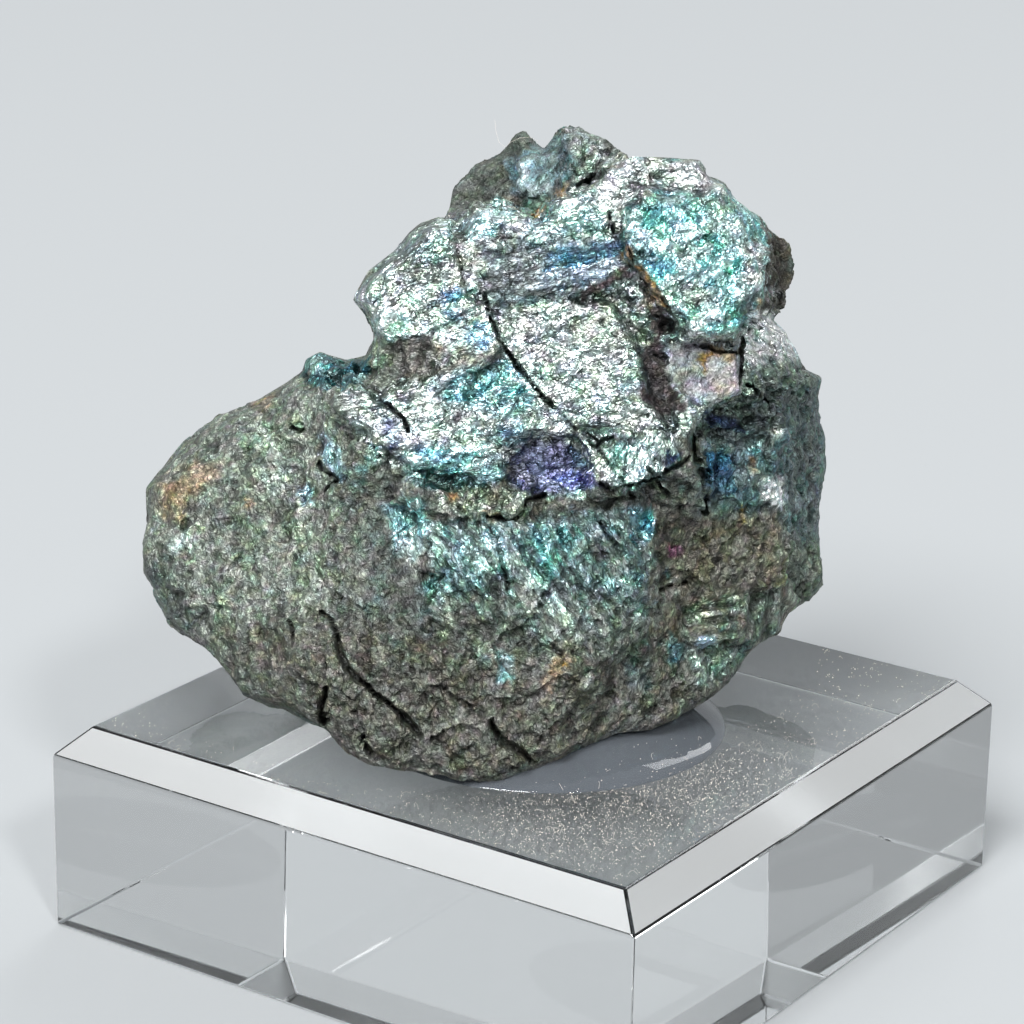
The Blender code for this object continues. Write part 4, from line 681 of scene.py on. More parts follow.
        (5.3, 6.3), (5.7, 5.8), (6.0, 4.9), (5.6, 4.8), (5.0, 5.6)]),
    # Painted shade: near-black laid in the knob's gap, standing for the shade deep in it
    "knob_gap_painted_shade": ("gap_painted_shade", 0.02, 1, 0.15, [
        (2.0, 28.7), (2.3, 29.4), (3.0, 29.9), (3.8, 30.2), (3.6, 29.8), (3.1, 29.3), (2.5, 28.8)]),
}

# Broken relief: spacing of the facets, their lean and greatest height, then the size and height of lumps
FACET_LAYERS = (
    (2.4 * MM, 0.17, 0.2 * MM),
    (1.0 * MM, 0.26, 0.13 * MM),
    (0.5 * MM, 0.36, 0.08 * MM),
)
BACK_FACET_LAYER = (6.0 * MM, 0.3, 1.0 * MM)
BACK_FACET_BLEND = 0.9 * MM

# The room that a layer of facets is laid out in has sides of whole steps, so that a small change
# of the form leaves the facets where they are
FACET_ROOM = 3.0 * MM

LUMP_LAYERS = ((2.2 * MM, 0.16 * MM), (0.8 * MM, 0.09 * MM))
GRAIN_LAYER = (0.4 * MM, 0.05 * MM)
PLATE_STREAK = math.radians(14)
PLATE_STRETCH = 0.45
RELIEF_EDGE = 0.8 * MM

# How far edges, cracks and patches wander from their drawn lines
WANDER = 0.5 * MM
WANDER_SIZE = 1.6 * MM
FINE_WANDER = 0.35
CRACK_WANDER = 0.12 * MM
CRACK_WANDER_SIZE = 0.6 * MM
CRACK_UNEVENNESS = 0.75
CRACK_UNEVENNESS_SIZE = 1.1 * MM
PATCH_WANDER = 0.45 * MM
PATCH_WANDER_SIZES = (1.3 * MM, 0.4 * MM)
GRAIN_WANDER = 0.5 * MM
GRAIN_WANDER_SIZE = 0.8 * MM

# How the relief keeps to the outline, and where the front's tarnish fades out
OUTLINE_MARGIN = 1.0 * MM
OUTLINE_ROUGHNESS = 0.14 * MM
OUTLINE_CUT = 0.15
FRONT_FADE = 3.0 * MM
FRONT_OVERLAP = 0.6
PATCH_TURN = 0.3

# Colours that also reach the faces turned away from the viewer
WIDE_COLOURS = ("silver", "grey_green", "grey_brown", "turquoise_green", "bottle", "far_teal")

# How colour and brightness vary: sizes of the lumps of rock colour, of the mottle and of the grit, gaps in
# the patches, painted shade with some dirt in the hollows, painted highlight on the crests, painted light
# and shade on the blades, and the lean of the flakes
ROCK_LUMPS = (5.0 * MM, 1.6 * MM, 0.6 * MM)
MOTTLE_SIZES = (0.9 * MM, 0.3 * MM)
GRIT_SIZES = (0.35 * MM, 0.8 * MM)
BLADE_PAINTED_LIGHT = 0.9
BLADE_STRETCH = 0.5
PATCH_GAPS = 0.5
HOLLOW_SHADE_AND_DIRT = 0.6
HOLLOW_DEPTH = 0.08
GRIT_COLOUR = 0.25
TONE = (0.94, 1.04, 1.0)
CREST_PAINTED_HIGHLIGHT = 0.25
FLAKE_LEAN = 0.45
SHARD_LEAN = 0.4

# The flakes: how far their edges are pushed and over what length, and the sizes and depth of the wavy
# relief on them, in the render a little coarser than on the mineral
CROOKED_SIZE = 0.45 * MM
CROOKED_PUSH = 0.5 * MM
WAVY_SIZE = 0.26 * MM
FINE_SIZE = 0.11 * MM
RELIEF_DEPTH = 0.16 * MM

# The grain of the faces: its direction in degrees from the right, and how drawn out its flakes are
GRAINS = {
    "left_lobe": (-65.0, 1.5),
    "foot": (-50.0, 1.3),
    "right_flank": (60.0, 1.5),
    "fan_face": (-58.0, 2.6),
    "dusty_centre": (-70.0, 1.6),
    "plate": (15.0, 2.3),
    "plate_left": (18.0, 2.0),
    "turquoise_block": (35.0, 1.3),
    "lilac_facet": (60.0, 1.8),
    "streaked_facet": (-18.0, 2.6),
    "fan_block": (70.0, 2.0),
    "violet_patch": (5.0, 2.2),
    "knob": (55.0, 1.4),
}
STONE_CUTS = 159

# The clear pieces: how light bends in them, and how much of it the bevels and the glue let through
ACRYLIC_IOR = 1.49
GLUE_IOR = 1.48
BEVEL_CLEARNESS = 0.7
GLUE_CLEARNESS = 0.9

# The glue
GLUE_MIDDLE = (1.65 * MM, -1.9 * MM)
GLUE_NARROWING = 0.975
GLUE_STEPS = 14
GLUE_SPOKES = 96
GLUE_SUNK = 0.02 * MM
GLUE_SLOPE = 1.6

# The dust: where it crowds, how much of it does, how far it spreads there, and its sizes
DUST_CROWDS = ((10.5 * MM, -13.5 * MM), (14.0 * MM, -5.0 * MM))
DUST_CROWDING = 0.55
DUST_SPREAD = 4.2 * MM
GLUE_DUST = 0.15
FIBRE_LENGTHS = (0.08 * MM, 0.75 * MM)
FIBRE_STEPS = 5
SPECK_RADII = (0.01 * MM, 0.032 * MM)
DROP_HEIGHT = 80.0 * MM
HAIR = (
    (-6.83, 9.40, 41.20),
    (-6.98, 8.91, 41.50),
    (-7.26, 8.22, 41.53),
    (-7.63, 7.87, 41.31),
    (-7.96, 7.77, 40.99),
    (-8.35, 7.73, 41.23),
    (-8.61, 7.79, 41.81),
    (-8.78, 7.92, 42.39),
)

# The studio: each light's share of the key power, size, azimuth, height and distance
FLOOR_SIZE = 12.0
FLOOR_GAP = 0.05 * MM
LIGHT_AIM = (0.0, 0.0, 0.025)
SKY_COLOUR = (0.93, 0.97, 1.0, 1.0)
LIGHTS = (
    ("key", 1.0, 1.1, 8.0, 47.0, 2.5),
    ("sparkle", 0.3, 0.25, 55.0, 36.0, 2.5),
    ("rim", 0.3, 1.6, 190.0, 40.0, 3.0),
)


def linear(code):
    """A colour written as sRGB hex, in linear light."""
    parts = [int(code[i:i + 2], 16) / 255 for i in (1, 3, 5)]
    return tuple(p / 12.92 if p <= 0.04045 else ((p + 0.055) / 1.055) ** 2.4 for p in parts)


def length(name, default, description):
    """A length that a user may change."""
    return FloatProperty(name=name, default=default, description=description, min=0.0,
                         subtype="DISTANCE", unit="LENGTH", precision=5)


def colour(name, code, description):
    """A colour that a user may change."""
    return FloatVectorProperty(name=name, default=linear(code), description=description, size=3,
                               min=0.0, max=1.0, subtype="COLOR")


def count(name, default, description):
    """A number of things that a user may change."""
    return IntProperty(name=name, default=default, description=description, min=0)


class StoneSettings(bpy.types.PropertyGroup):
    """Sizes and colours of the stone."""

    grain: length("Grain", 0.165 * MM, "Size of the stone's mesh faces before they are thinned")
    flake: length("Flake", 0.21 * MM, "Width of the smallest bright flakes")
    shard: length("Shard", 0.9 * MM, "Width of the larger flakes that tilt together")
    triangles: count("Triangles", 196000, "Triangles that the stone keeps")
    rock_light: colour("Light rock", "#7d8478", "Grey-green of the broken rock behind")
    rock_dark: colour("Dark rock", "#4a4d46", "Charcoal of the broken rock behind")
    rock_warm: colour("Warm rock", "#665e50", "Brown of the broken rock behind")
    rock_tarnish: colour("Tarnished rock", "#4f8583", "Turquoise tarnish on the rock behind")


class BlockSettings(bpy.types.PropertyGroup):
    """Sizes and colour of the acrylic block."""

    bevel: length("Top bevel", 1.6 * MM, "Width of the 45 degree bevel round the top")
    edge: length("Edge", 0.12 * MM, "Radius of the polished edges")
    tint: colour("Tint", "#fafcfc", "Tint of the clear acrylic")


class GlueSettings(bpy.types.PropertyGroup):
    """Sizes and colour of the glue."""

    radius: length("Radius", 10.35 * MM, "Radius of the set drop")
    height: length("Height", 2.3 * MM, "Height of the drop at its middle")
    # The slight blue tint is a painted reflection of bluish surroundings
    tint: colour("Tint", "#d8e2ee", "Slightly blue tint of the glue")


class DustSettings(bpy.types.PropertyGroup):
    """Amount and colour of the dust and lint."""

    fibres: count("Fibres", 1300, "Short fibres lying on the block and the glue")
    specks: count("Specks", 5600, "Specks of dust lying on the block")
    fibre_width: length("Fibre width", 0.012 * MM, "Thickness of a fibre")
    tint: colour("Tint", "#dcd3c8", "Colour of the lint")


class StageSettings(bpy.types.PropertyGroup):
    """The plain studio."""

    floor: colour("Floor", "#9da0a2", "Colour of the pale floor")
    key_power: FloatProperty(name="Key light", default=100.0, min=0.0, unit="POWER",
                             description="Power of the main soft light")
    fill: FloatProperty(name="Fill", default=0.36, min=0.0,
                        description="Brightness of the plain surroundings before the specimen")
    backdrop: FloatProperty(name="Backdrop", default=0.62, min=0.0,
                            description="Brightness of the plain surroundings behind the specimen")


SETTINGS = {
    "chalcocite_stone": StoneSettings,
    "chalcocite_block": BlockSettings,
    "chalcocite_glue": GlueSettings,
    "chalcocite_dust": DustSettings,
    "chalcocite_stage": StageSettings,
}


def add_node(tree, kind, inputs=None, **settings):
    """Add one node with its settings, and set or link its inputs."""
    node = tree.nodes.new(kind)
    for name, value in settings.items():
        setattr(node, name, value)
    for name, value in (inputs or {}).items():
        if isinstance(value, bpy.types.NodeSocket):
            tree.links.new(value, node.inputs[name])
        else:
            node.inputs[name].default_value = value
    return node


def new_material(name, **values):
    """A Principled material with the finish's constant values, and its shader node."""
    mat = bpy.data.materials.new(name)
    mat.use_nodes = True
    shader = mat.node_tree.nodes["Principled BSDF"]
    for socket, value in values.items():
        shader.inputs[socket.replace("_", " ")].default_value = value
    return mat, shader


def add_piece(name, mesh, mats, replaces=()):
    """Put a finished mesh in the scene, riding on the specimen."""
    mesh.name = name
    for mat in mats:
        mesh.materials.append(mat)
    piece = bpy.data.objects.new(name, mesh)
    bpy.context.scene.collection.objects.link(piece)
    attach(piece, BODY)
    if replaces:
        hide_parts(*replaces)
    return piece


def mesh_from(bm, name):
    """A mesh made from a bmesh, which is freed."""
    mesh = bpy.data.meshes.new(name)
    bm.to_mesh(mesh)
    bm.free()
    return mesh


def with_modifier(mesh, kind, **settings):
    """The mesh after one modifier."""
    holder = bpy.data.objects.new("form", mesh)
    bpy.context.scene.collection.objects.link(holder)
    modifier = holder.modifiers.new("form", kind)
    for name, value in settings.items():
        setattr(modifier, name, value)
    depsgraph = bpy.context.evaluated_depsgraph_get()
    result = bpy.data.meshes.new_from_object(holder.evaluated_get(depsgraph))
    bpy.data.objects.remove(holder, do_unlink=True)
    return result


def get_points(mesh):
    """The mesh's vertices as rows."""
    flat = np.empty(len(mesh.vertices) * 3, dtype=np.float32)
    mesh.vertices.foreach_get("co", flat)
    return flat.reshape(-1, 3).astype(float)


def get_normals(mesh):
    """The normals at the mesh's vertices as rows."""
    flat = np.empty(len(mesh.vertices) * 3, dtype=np.float32)
    mesh.vertex_normals.foreach_get("vector", flat)
    return flat.reshape(-1, 3).astype(float)


def set_points(mesh, points):
    """Move the mesh's vertices."""
    mesh.vertices.foreach_set("co", points.astype(np.float32).ravel())
    mesh.update()


def display_axes():
    """The directions right, up and toward the viewer, as rows."""
    right = np.array((math.cos(DISPLAY_AZIMUTH), math.sin(DISPLAY_AZIMUTH), 0.0))
    away = np.array((-math.sin(DISPLAY_AZIMUTH), math.cos(DISPLAY_AZIMUTH), 0.0))
    vertical = np.array((0.0, 0.0, 1.0))
    up = away * math.sin(DISPLAY_TILT) + vertical * math.cos(DISPLAY_TILT)
    toward = vertical * math.sin(DISPLAY_TILT) - away * math.cos(DISPLAY_TILT)
    return np.stack((right, up, toward))


def seen_at(points):
    """Where each block-top point lies on the plane of the outline, and its depth toward the viewer."""
    right, up, toward = (points @ axis for axis in display_axes())
    drawn_in = (VIEW_DISTANCE - toward) / VIEW_DISTANCE
    u = VIEW_AXIS[0] + (right - VIEW_AXIS[0]) / drawn_in
    v = VIEW_AXIS[1] + (up - VIEW_AXIS[1]) / drawn_in
    return u, v, toward


def smooth_step(x):
    """0 below 0, 1 above 1 and a smooth ramp between."""
    x = np.clip(x, 0.0, 1.0)
    return x * x * (3.0 - 2.0 * x)


def route_distance(u, v, route):
    """Distance of each point from a route of straight stretches."""
    nearest = np.full(u.shape, 1.0)
    for (u0, v0), (u1, v1) in zip(route, route[1:]):
        du = u1 - u0
        dv = v1 - v0
        along = np.clip(((u - u0) * du + (v - v0) * dv) / (du * du + dv * dv), 0.0, 1.0)
        nearest = np.minimum(nearest, np.hypot(u - u0 - along * du, v - v0 - along * dv))
    return nearest


def inside_distance(u, v, outline):
    """Distance of each point inside a closed outline from its edge, negative outside."""
    nearest = route_distance(u, v, list(outline) + [outline[0]])
    inside = np.zeros(u.shape, dtype=bool)
    for (u0, v0), (u1, v1) in zip(outline, list(outline[1:]) + [outline[0]]):
        if v0 == v1:
            continue
        crosses = (v0 > v) != (v1 > v)
        inside ^= crosses & (u < u0 + (v - v0) * (u1 - u0) / (v1 - v0))
    return np.where(inside, nearest, -nearest)


def cover(u, v, outline, edge):
    """How far each point is inside an outline given in millimetres: 0 outside, 1 well inside."""
    outline = np.array(outline) * MM
    low = outline.min(axis=0) - edge
    high = outline.max(axis=0) + edge
    near = (u > low[0]) & (u < high[0]) & (v > low[1]) & (v < high[1])
    weight = np.zeros(u.shape)
    weight[near] = smooth_step(inside_distance(u[near], v[near], outline) / edge + 0.5)
    return weight


def vector_noise(points, size, seed):
    """A smooth random vector at each point, from -1 to 1."""
    shift = Vector((seed, 2.0 * seed, 3.0 * seed))
    return np.array([noise.noise_vector(Vector(p / size) + shift)[:] for p in points])


def lumps(points, size, seed=0.0):
    """Smooth lumps of the given size, from -1 to 1."""
    shift = Vector((seed, 2.0 * seed, 3.0 * seed))
    return np.array([noise.fractal(Vector(p / size) + shift, 0.9, 2.1, 3) for p in points])


def facets(points, spacing, lean, limit, seed, blend=0.0):
    """Relief of a broken face: flat facets about the spacing apart, each leaning its own way.

    Neighbours meet in a step, or in a slope of the blend's width.
    """
    rng = np.random.default_rng(seed)
    low = (np.floor(points.min(axis=0) / FACET_ROOM) - 1.0) * FACET_ROOM
    high = (np.ceil(points.max(axis=0) / FACET_ROOM) + 1.0) * FACET_ROOM
    number = int(np.prod((high - low) / spacing))
    seeds = rng.uniform(low, high, (number, 3))
    leans = rng.normal(0.0, lean, (number, 3))
    tree = kdtree.KDTree(number)
    for index, seed_point in enumerate(seeds):
        tree.insert(seed_point, index)
    tree.balance()
    if not blend:
        nearest = np.array([tree.find(point)[1] for point in points])
        relief = np.einsum("ij,ij->i", points - seeds[nearest], leans[nearest])
        return np.clip(relief, -limit, limit)
    pairs = [tree.find_n(point, 2) for point in points]
    gap = np.array([pair[1][2] - pair[0][2] for pair in pairs])
    relief = []
    for which in (0, 1):
        cell = np.array([pair[which][1] for pair in pairs])
        relief.append(np.einsum("ij,ij->i", points - seeds[cell], leans[cell]))
    share_of_first = smooth_step(0.5 + 0.5 * gap / blend)
    relief = relief[1] + (relief[0] - relief[1]) * share_of_first
    return np.clip(relief, -limit, limit)


def rim_at(angle):
    """The outline's radius about the stone's middle, its depth and its rounding at each angle."""
    rim = np.array(OUTLINE) * MM
    u = rim[:, 0] - STONE_MIDDLE[0]
    v = rim[:, 1] - STONE_MIDDLE[1]
    turn = np.unwrap(np.arctan2(v, u))
    start = turn[0]
    angle = (angle - start) % (2 * math.pi)
    turn = np.append(turn - start, 2 * math.pi)
    closed = np.vstack((rim, rim[:1]))
    u = np.append(u, u[0])
    v = np.append(v, v[0])
    index = np.clip(np.searchsorted(turn, angle, side="right") - 1, 0, len(rim) - 1)
    ray_u = np.cos(angle + start)
    ray_v = np.sin(angle + start)
    du = u[index + 1] - u[index]
    dv = v[index + 1] - v[index]
    radius = (u[index] * dv - v[index] * du) / (ray_u * dv - ray_v * du)
    along = np.hypot(ray_u * radius - u[index], ray_v * radius - v[index]) / np.hypot(du, dv)
    depth = closed[index, 2] + along * (closed[index + 1, 2] - closed[index, 2])
    rounding = closed[index, 3] + along * (closed[index + 1, 3] - closed[index, 3])
    return radius, depth, rounding


def front_depth(u, v):
    """Depth of the front toward the viewer: the faces laid over each other, then the pits."""
    depth = np.full(u.shape, FRONT_DEPTH)
    for toward, lean_right, lean_up, edge, outline in FACES.values():
        middle = np.array(outline).mean(axis=0) * MM
        face = toward * MM + lean_right * (u - middle[0]) + lean_up * (v - middle[1])
        depth = depth + (face - depth) * cover(u, v, outline, edge * MM)
    for radius, pit_depth, middle in PITS:
        near = np.hypot(u - middle[0] * MM, v - middle[1] * MM) / (radius * MM)
        depth -= pit_depth * MM * smooth_step(1.25 - near)
    return depth


def low_outline():
    """The outline's radius at each degree with its bumps taken off: the form of the stone behind it."""
    radius = rim_at(np.radians(np.arange(360)))[0]
    turns = range(-BACK_SMOOTHING, BACK_SMOOTHING + 1)
    lowest = np.min([np.roll(radius, turn) for turn in turns], axis=0)
    return np.mean([np.roll(lowest, turn) for turn in turns], axis=0)


def stone_points(directions):
    """Place each direction of a unit ball on the stone, in block-top coordinates."""
    x, away, z = directions.T
    spread = np.arccos(np.clip(-away, -1.0, 1.0)) / (math.pi / 2)
    angle = np.arctan2(z, x)
    radius, rim_depth, rounding = rim_at(angle)

    u = STONE_MIDDLE[0] + np.minimum(spread, 1.0) * radius * np.cos(angle)
    v = STONE_MIDDLE[1] + np.minimum(spread, 1.0) * radius * np.sin(angle)
    rim_gap = np.maximum(inside_distance(u, v, np.array(OUTLINE)[:, :2] * MM), 0.0)
    near_rim = np.clip(1.0 - rim_gap / rounding, 0.0, 1.0)
    swell = np.sqrt(1.0 - near_rim * near_rim)
    flat = np.stack((u, v, np.zeros(u.shape)), axis=1)
    wander = WANDER * vector_noise(flat, WANDER_SIZE, 5.0)
    wander += FINE_WANDER * WANDER * vector_noise(flat, WANDER_SIZE / 3, 9.0)
    front_side = rim_depth + (front_depth(u + wander[:, 0], v + wander[:, 1]) - rim_depth) * swell

    behind = np.clip(spread - 1.0, 0.0, 1.0) * math.pi / 2
    sunk = np.sin(behind) ** BACK_STEEPNESS
    low = np.interp(angle, np.radians(np.arange(360)), low_outline(), period=2 * math.pi)
    narrowed = radius + (low - radius) * smooth_step(sunk / BACK_NARROWING)
    back_radius = narrowed * np.cos(behind) ** BACK_FULLNESS
    back_u = STONE_MIDDLE[0] + back_radius * np.cos(angle)
    back_v = STONE_MIDDLE[1] + back_radius * np.sin(angle)
    back_depth = np.minimum(BACK_DEPTH + BACK_LEAN * back_v, rim_depth - BACK_LEAST)
    back_side = rim_depth + (back_depth - rim_depth) * sunk

    front = spread <= 1.0
    u = np.where(front, u, back_u)
    v = np.where(front, v, back_v)
    depth = np.where(front, front_side, back_side)
    drawn_in = (VIEW_DISTANCE - depth) / VIEW_DISTANCE
    right = VIEW_AXIS[0] + (u - VIEW_AXIS[0]) * drawn_in
    up = VIEW_AXIS[1] + (v - VIEW_AXIS[1]) * drawn_in
    return np.stack((right, up, depth), axis=1) @ display_axes()


def rest_flat(points):
    """Lift what lies below the stone's flat spot, which rises gently around it."""
    out = np.hypot(points[:, 0] - FLAT_SPOT[0], points[:, 1] - FLAT_SPOT[1]) - FLAT_SPOT_RADIUS
    floor = STONE_CLEARANCE + FLAT_SPOT_RISE * np.maximum(out, 0.0)
    points[:, 2] = np.maximum(points[:, 2], floor)
    return points


def on_faces(u, v, facing):
    """How far each point is on the streaked flaky faces, and its share of the broken relief."""
    streaked = np.zeros(u.shape)
    rough = np.ones(u.shape)
    for name, face in FACES.items():
        weight = cover(u, v, face[4], RELIEF_EDGE) * smooth_step(facing * 2.0)
        streaked += (float(name in STREAKED_FACES) - streaked) * weight
        rough += (ROUGHNESS.get(name, 0.9) - rough) * weight
    return streaked, rough


def stretched(points, angle, stretch):
    """The points drawn together along one direction of the display plane, so that cells lie along it."""
    right, up, toward = display_axes()
    along = math.cos(angle) * right + math.sin(angle) * up
    return points + np.outer(points @ along, along) * (stretch - 1.0)


def blade_relief(u, v):
    """Height of the blades and ribs at each point, from 0 to 1 of their height, and the height."""
    ridge = np.zeros(u.shape)
    height = np.zeros(u.shape)
    for turn, spacing, run, tall, outline in BLADES.values():
        weight = cover(u, v, outline, RELIEF_EDGE)
        there = np.flatnonzero(weight > 0.0)
        turn = math.radians(turn)
        along = (u[there] * math.cos(turn) + v[there] * math.sin(turn)) / (run * MM)
        across = (v[there] * math.cos(turn) - u[there] * math.sin(turn)) / (spacing * MM)
        wave = np.array([noise.noise(Vector((a, b, spacing))) for a, b in zip(along, across)])
        crest = 1.0 - np.minimum(np.abs(wave) * 2.6, 1.0)
        ridge[there] = ridge[there] * (1.0 - weight[there]) + crest * weight[there]
        height[there] = height[there] * (1.0 - weight[there]) + tall * MM * weight[there]
    return ridge, height


def broken_relief(points, normals):
    """Break the faces up into facets, lumps, blades and cracks."""
    facing = normals @ display_axes()[2]
    u, v, toward = seen_at(points)
    streaked, rough = on_faces(u, v, facing)
    behind = smooth_step(0.5 - 1.4 * facing)
    streaky = stretched(points, PLATE_STREAK, PLATE_STRETCH)
    height = np.zeros(u.shape)
    for layer, (spacing, lean, limit) in enumerate(FACET_LAYERS):
        blocky = facets(points, spacing, lean, limit, SEED + 10 + layer)
        flaky = facets(streaky, spacing, lean, limit, SEED + 20 + layer)
        height += blocky * (1.0 - streaked) + flaky * streaked
    for layer, (size, tall) in enumerate(LUMP_LAYERS):
        height += tall * lumps(points, size, float(layer)) * (1.0 - 0.6 * streaked)
    height *= rough
    height += GRAIN_LAYER[1] * lumps(points, GRAIN_LAYER[0], 12.0)
    height += facets(points, *BACK_FACET_LAYER, SEED + 1, BACK_FACET_BLEND) * behind
    ridge, tall = blade_relief(u, v)
    height += (ridge - 0.5) * tall * smooth_step(facing * 2.0)

    # The relief dies away at the outline, so that the stone keeps its silhouette
    room = np.maximum(inside_distance(u, v, np.array(OUTLINE)[:, :2] * MM), 0.0)
    height *= smooth_step(room / OUTLINE_MARGIN + 0.35)
    height = np.clip(height, -OUTLINE_CUT * room - OUTLINE_ROUGHNESS, 0.7 * room + OUTLINE_ROUGHNESS)
    moved = points + normals * height[:, None]

    flat = np.stack((u, v, np.zeros(u.shape)), axis=1)
    wander = CRACK_WANDER * vector_noise(flat, CRACK_WANDER_SIZE, 3.0)
    uneven = 1.0 + CRACK_UNEVENNESS * vector_noise(flat, CRACK_UNEVENNESS_SIZE, 13.0)[:, 0]
    sunk = np.zeros(u.shape)
    for half_width, depth, route in CRACKS:
        route = np.array(route) * MM
        near = route_distance(u + wander[:, 0], v + wander[:, 1], route) / (half_width * MM * uneven)
        sunk = np.maximum(sunk, depth * MM * smooth_step(1.3 - near))
    sunk *= smooth_step(facing * 2.0)
    return moved - np.outer(sunk, display_axes()[2])


def neighbour_mean(mesh, values):
    """The mean of the values at each vertex's neighbours."""
    ends = np.empty(len(mesh.edges) * 2, dtype=np.int32)
    mesh.edges.foreach_get("vertices", ends)
    first, second = ends.reshape(-1, 2).T
    number = len(mesh.vertices)
    here = np.concatenate((first, second))
    there = np.concatenate((second, first))
    total = np.bincount(here, minlength=number)
    values = values.reshape(number, -1)
    sums = [np.bincount(here, weights=column[there], minlength=number) for column in values.T]
    return np.stack(sums, axis=1) / np.maximum(total, 1)[:, None]


def hollowness(mesh, rounds):
    """How far each vertex lies below its smoothed surroundings, in millimetres, negative on crests."""
    points = get_points(mesh)
    smooth = points
    for _ in range(rounds):
        smooth = neighbour_mean(mesh, smooth)
    deep = np.einsum("ij,ij->i", smooth - points, get_normals(mesh)) / MM
    return neighbour_mean(mesh, deep)[:, 0] * 0.5 + deep * 0.5


def grain_lines(mesh, u, v, toward, front):
    """Coordinates along the grain of each face, so that flakes are drawn out along it and end at its edge.

    Each triangle takes the grain of one face, so its corners hold the coordinates, not its vertices.
    """
    sizes = np.empty(len(mesh.polygons), dtype=np.int32)
    mesh.polygons.foreach_get("loop_total", sizes)
    corners = np.empty(len(mesh.loops), dtype=np.int32)
    mesh.loops.foreach_get("vertex_index", corners)
    first = np.concatenate(((0,), np.cumsum(sizes)[:-1]))
    flat = np.stack((u, v, np.zeros(u.shape)), axis=1)[corners[first]]
    wander = GRAIN_WANDER * vector_noise(flat, GRAIN_WANDER_SIZE, 17.0)
    triangle_u = flat[:, 0] + wander[:, 0]
    triangle_v = flat[:, 1] + wander[:, 1]
    triangle_front = front[corners[first]] > 0.5

    fields = [(0.0, 1.0, None)]
    fields += [(*GRAINS[name], FACES[name][4]) for name in FACES if name in GRAINS]
    fields += [(turn, run / spacing * BLADE_STRETCH, outline)
               for turn, spacing, run, tall, outline in BLADES.values()]
    lines = np.empty((len(corners), 3))
    field_of = np.zeros(len(sizes), dtype=int)
    for index, (turn, stretch, outline) in enumerate(fields[1:], start=1):
        inside = cover(triangle_u, triangle_v, outline, 0.02 * MM) > 0.5
        field_of[inside & triangle_front] = index
    field_of = np.repeat(field_of, sizes)
    for index, (turn, stretch, outline) in enumerate(fields):
        here = field_of == index
        there = corners[here]
        turn = math.radians(turn)
        along = (u[there] * math.cos(turn) + v[there] * math.sin(turn)) / stretch
        across = v[there] * math.cos(turn) - u[there] * math.sin(turn)
        lines[here] = np.stack((along, across, toward[there] + index * 7.0 * MM), axis=1)
    return lines


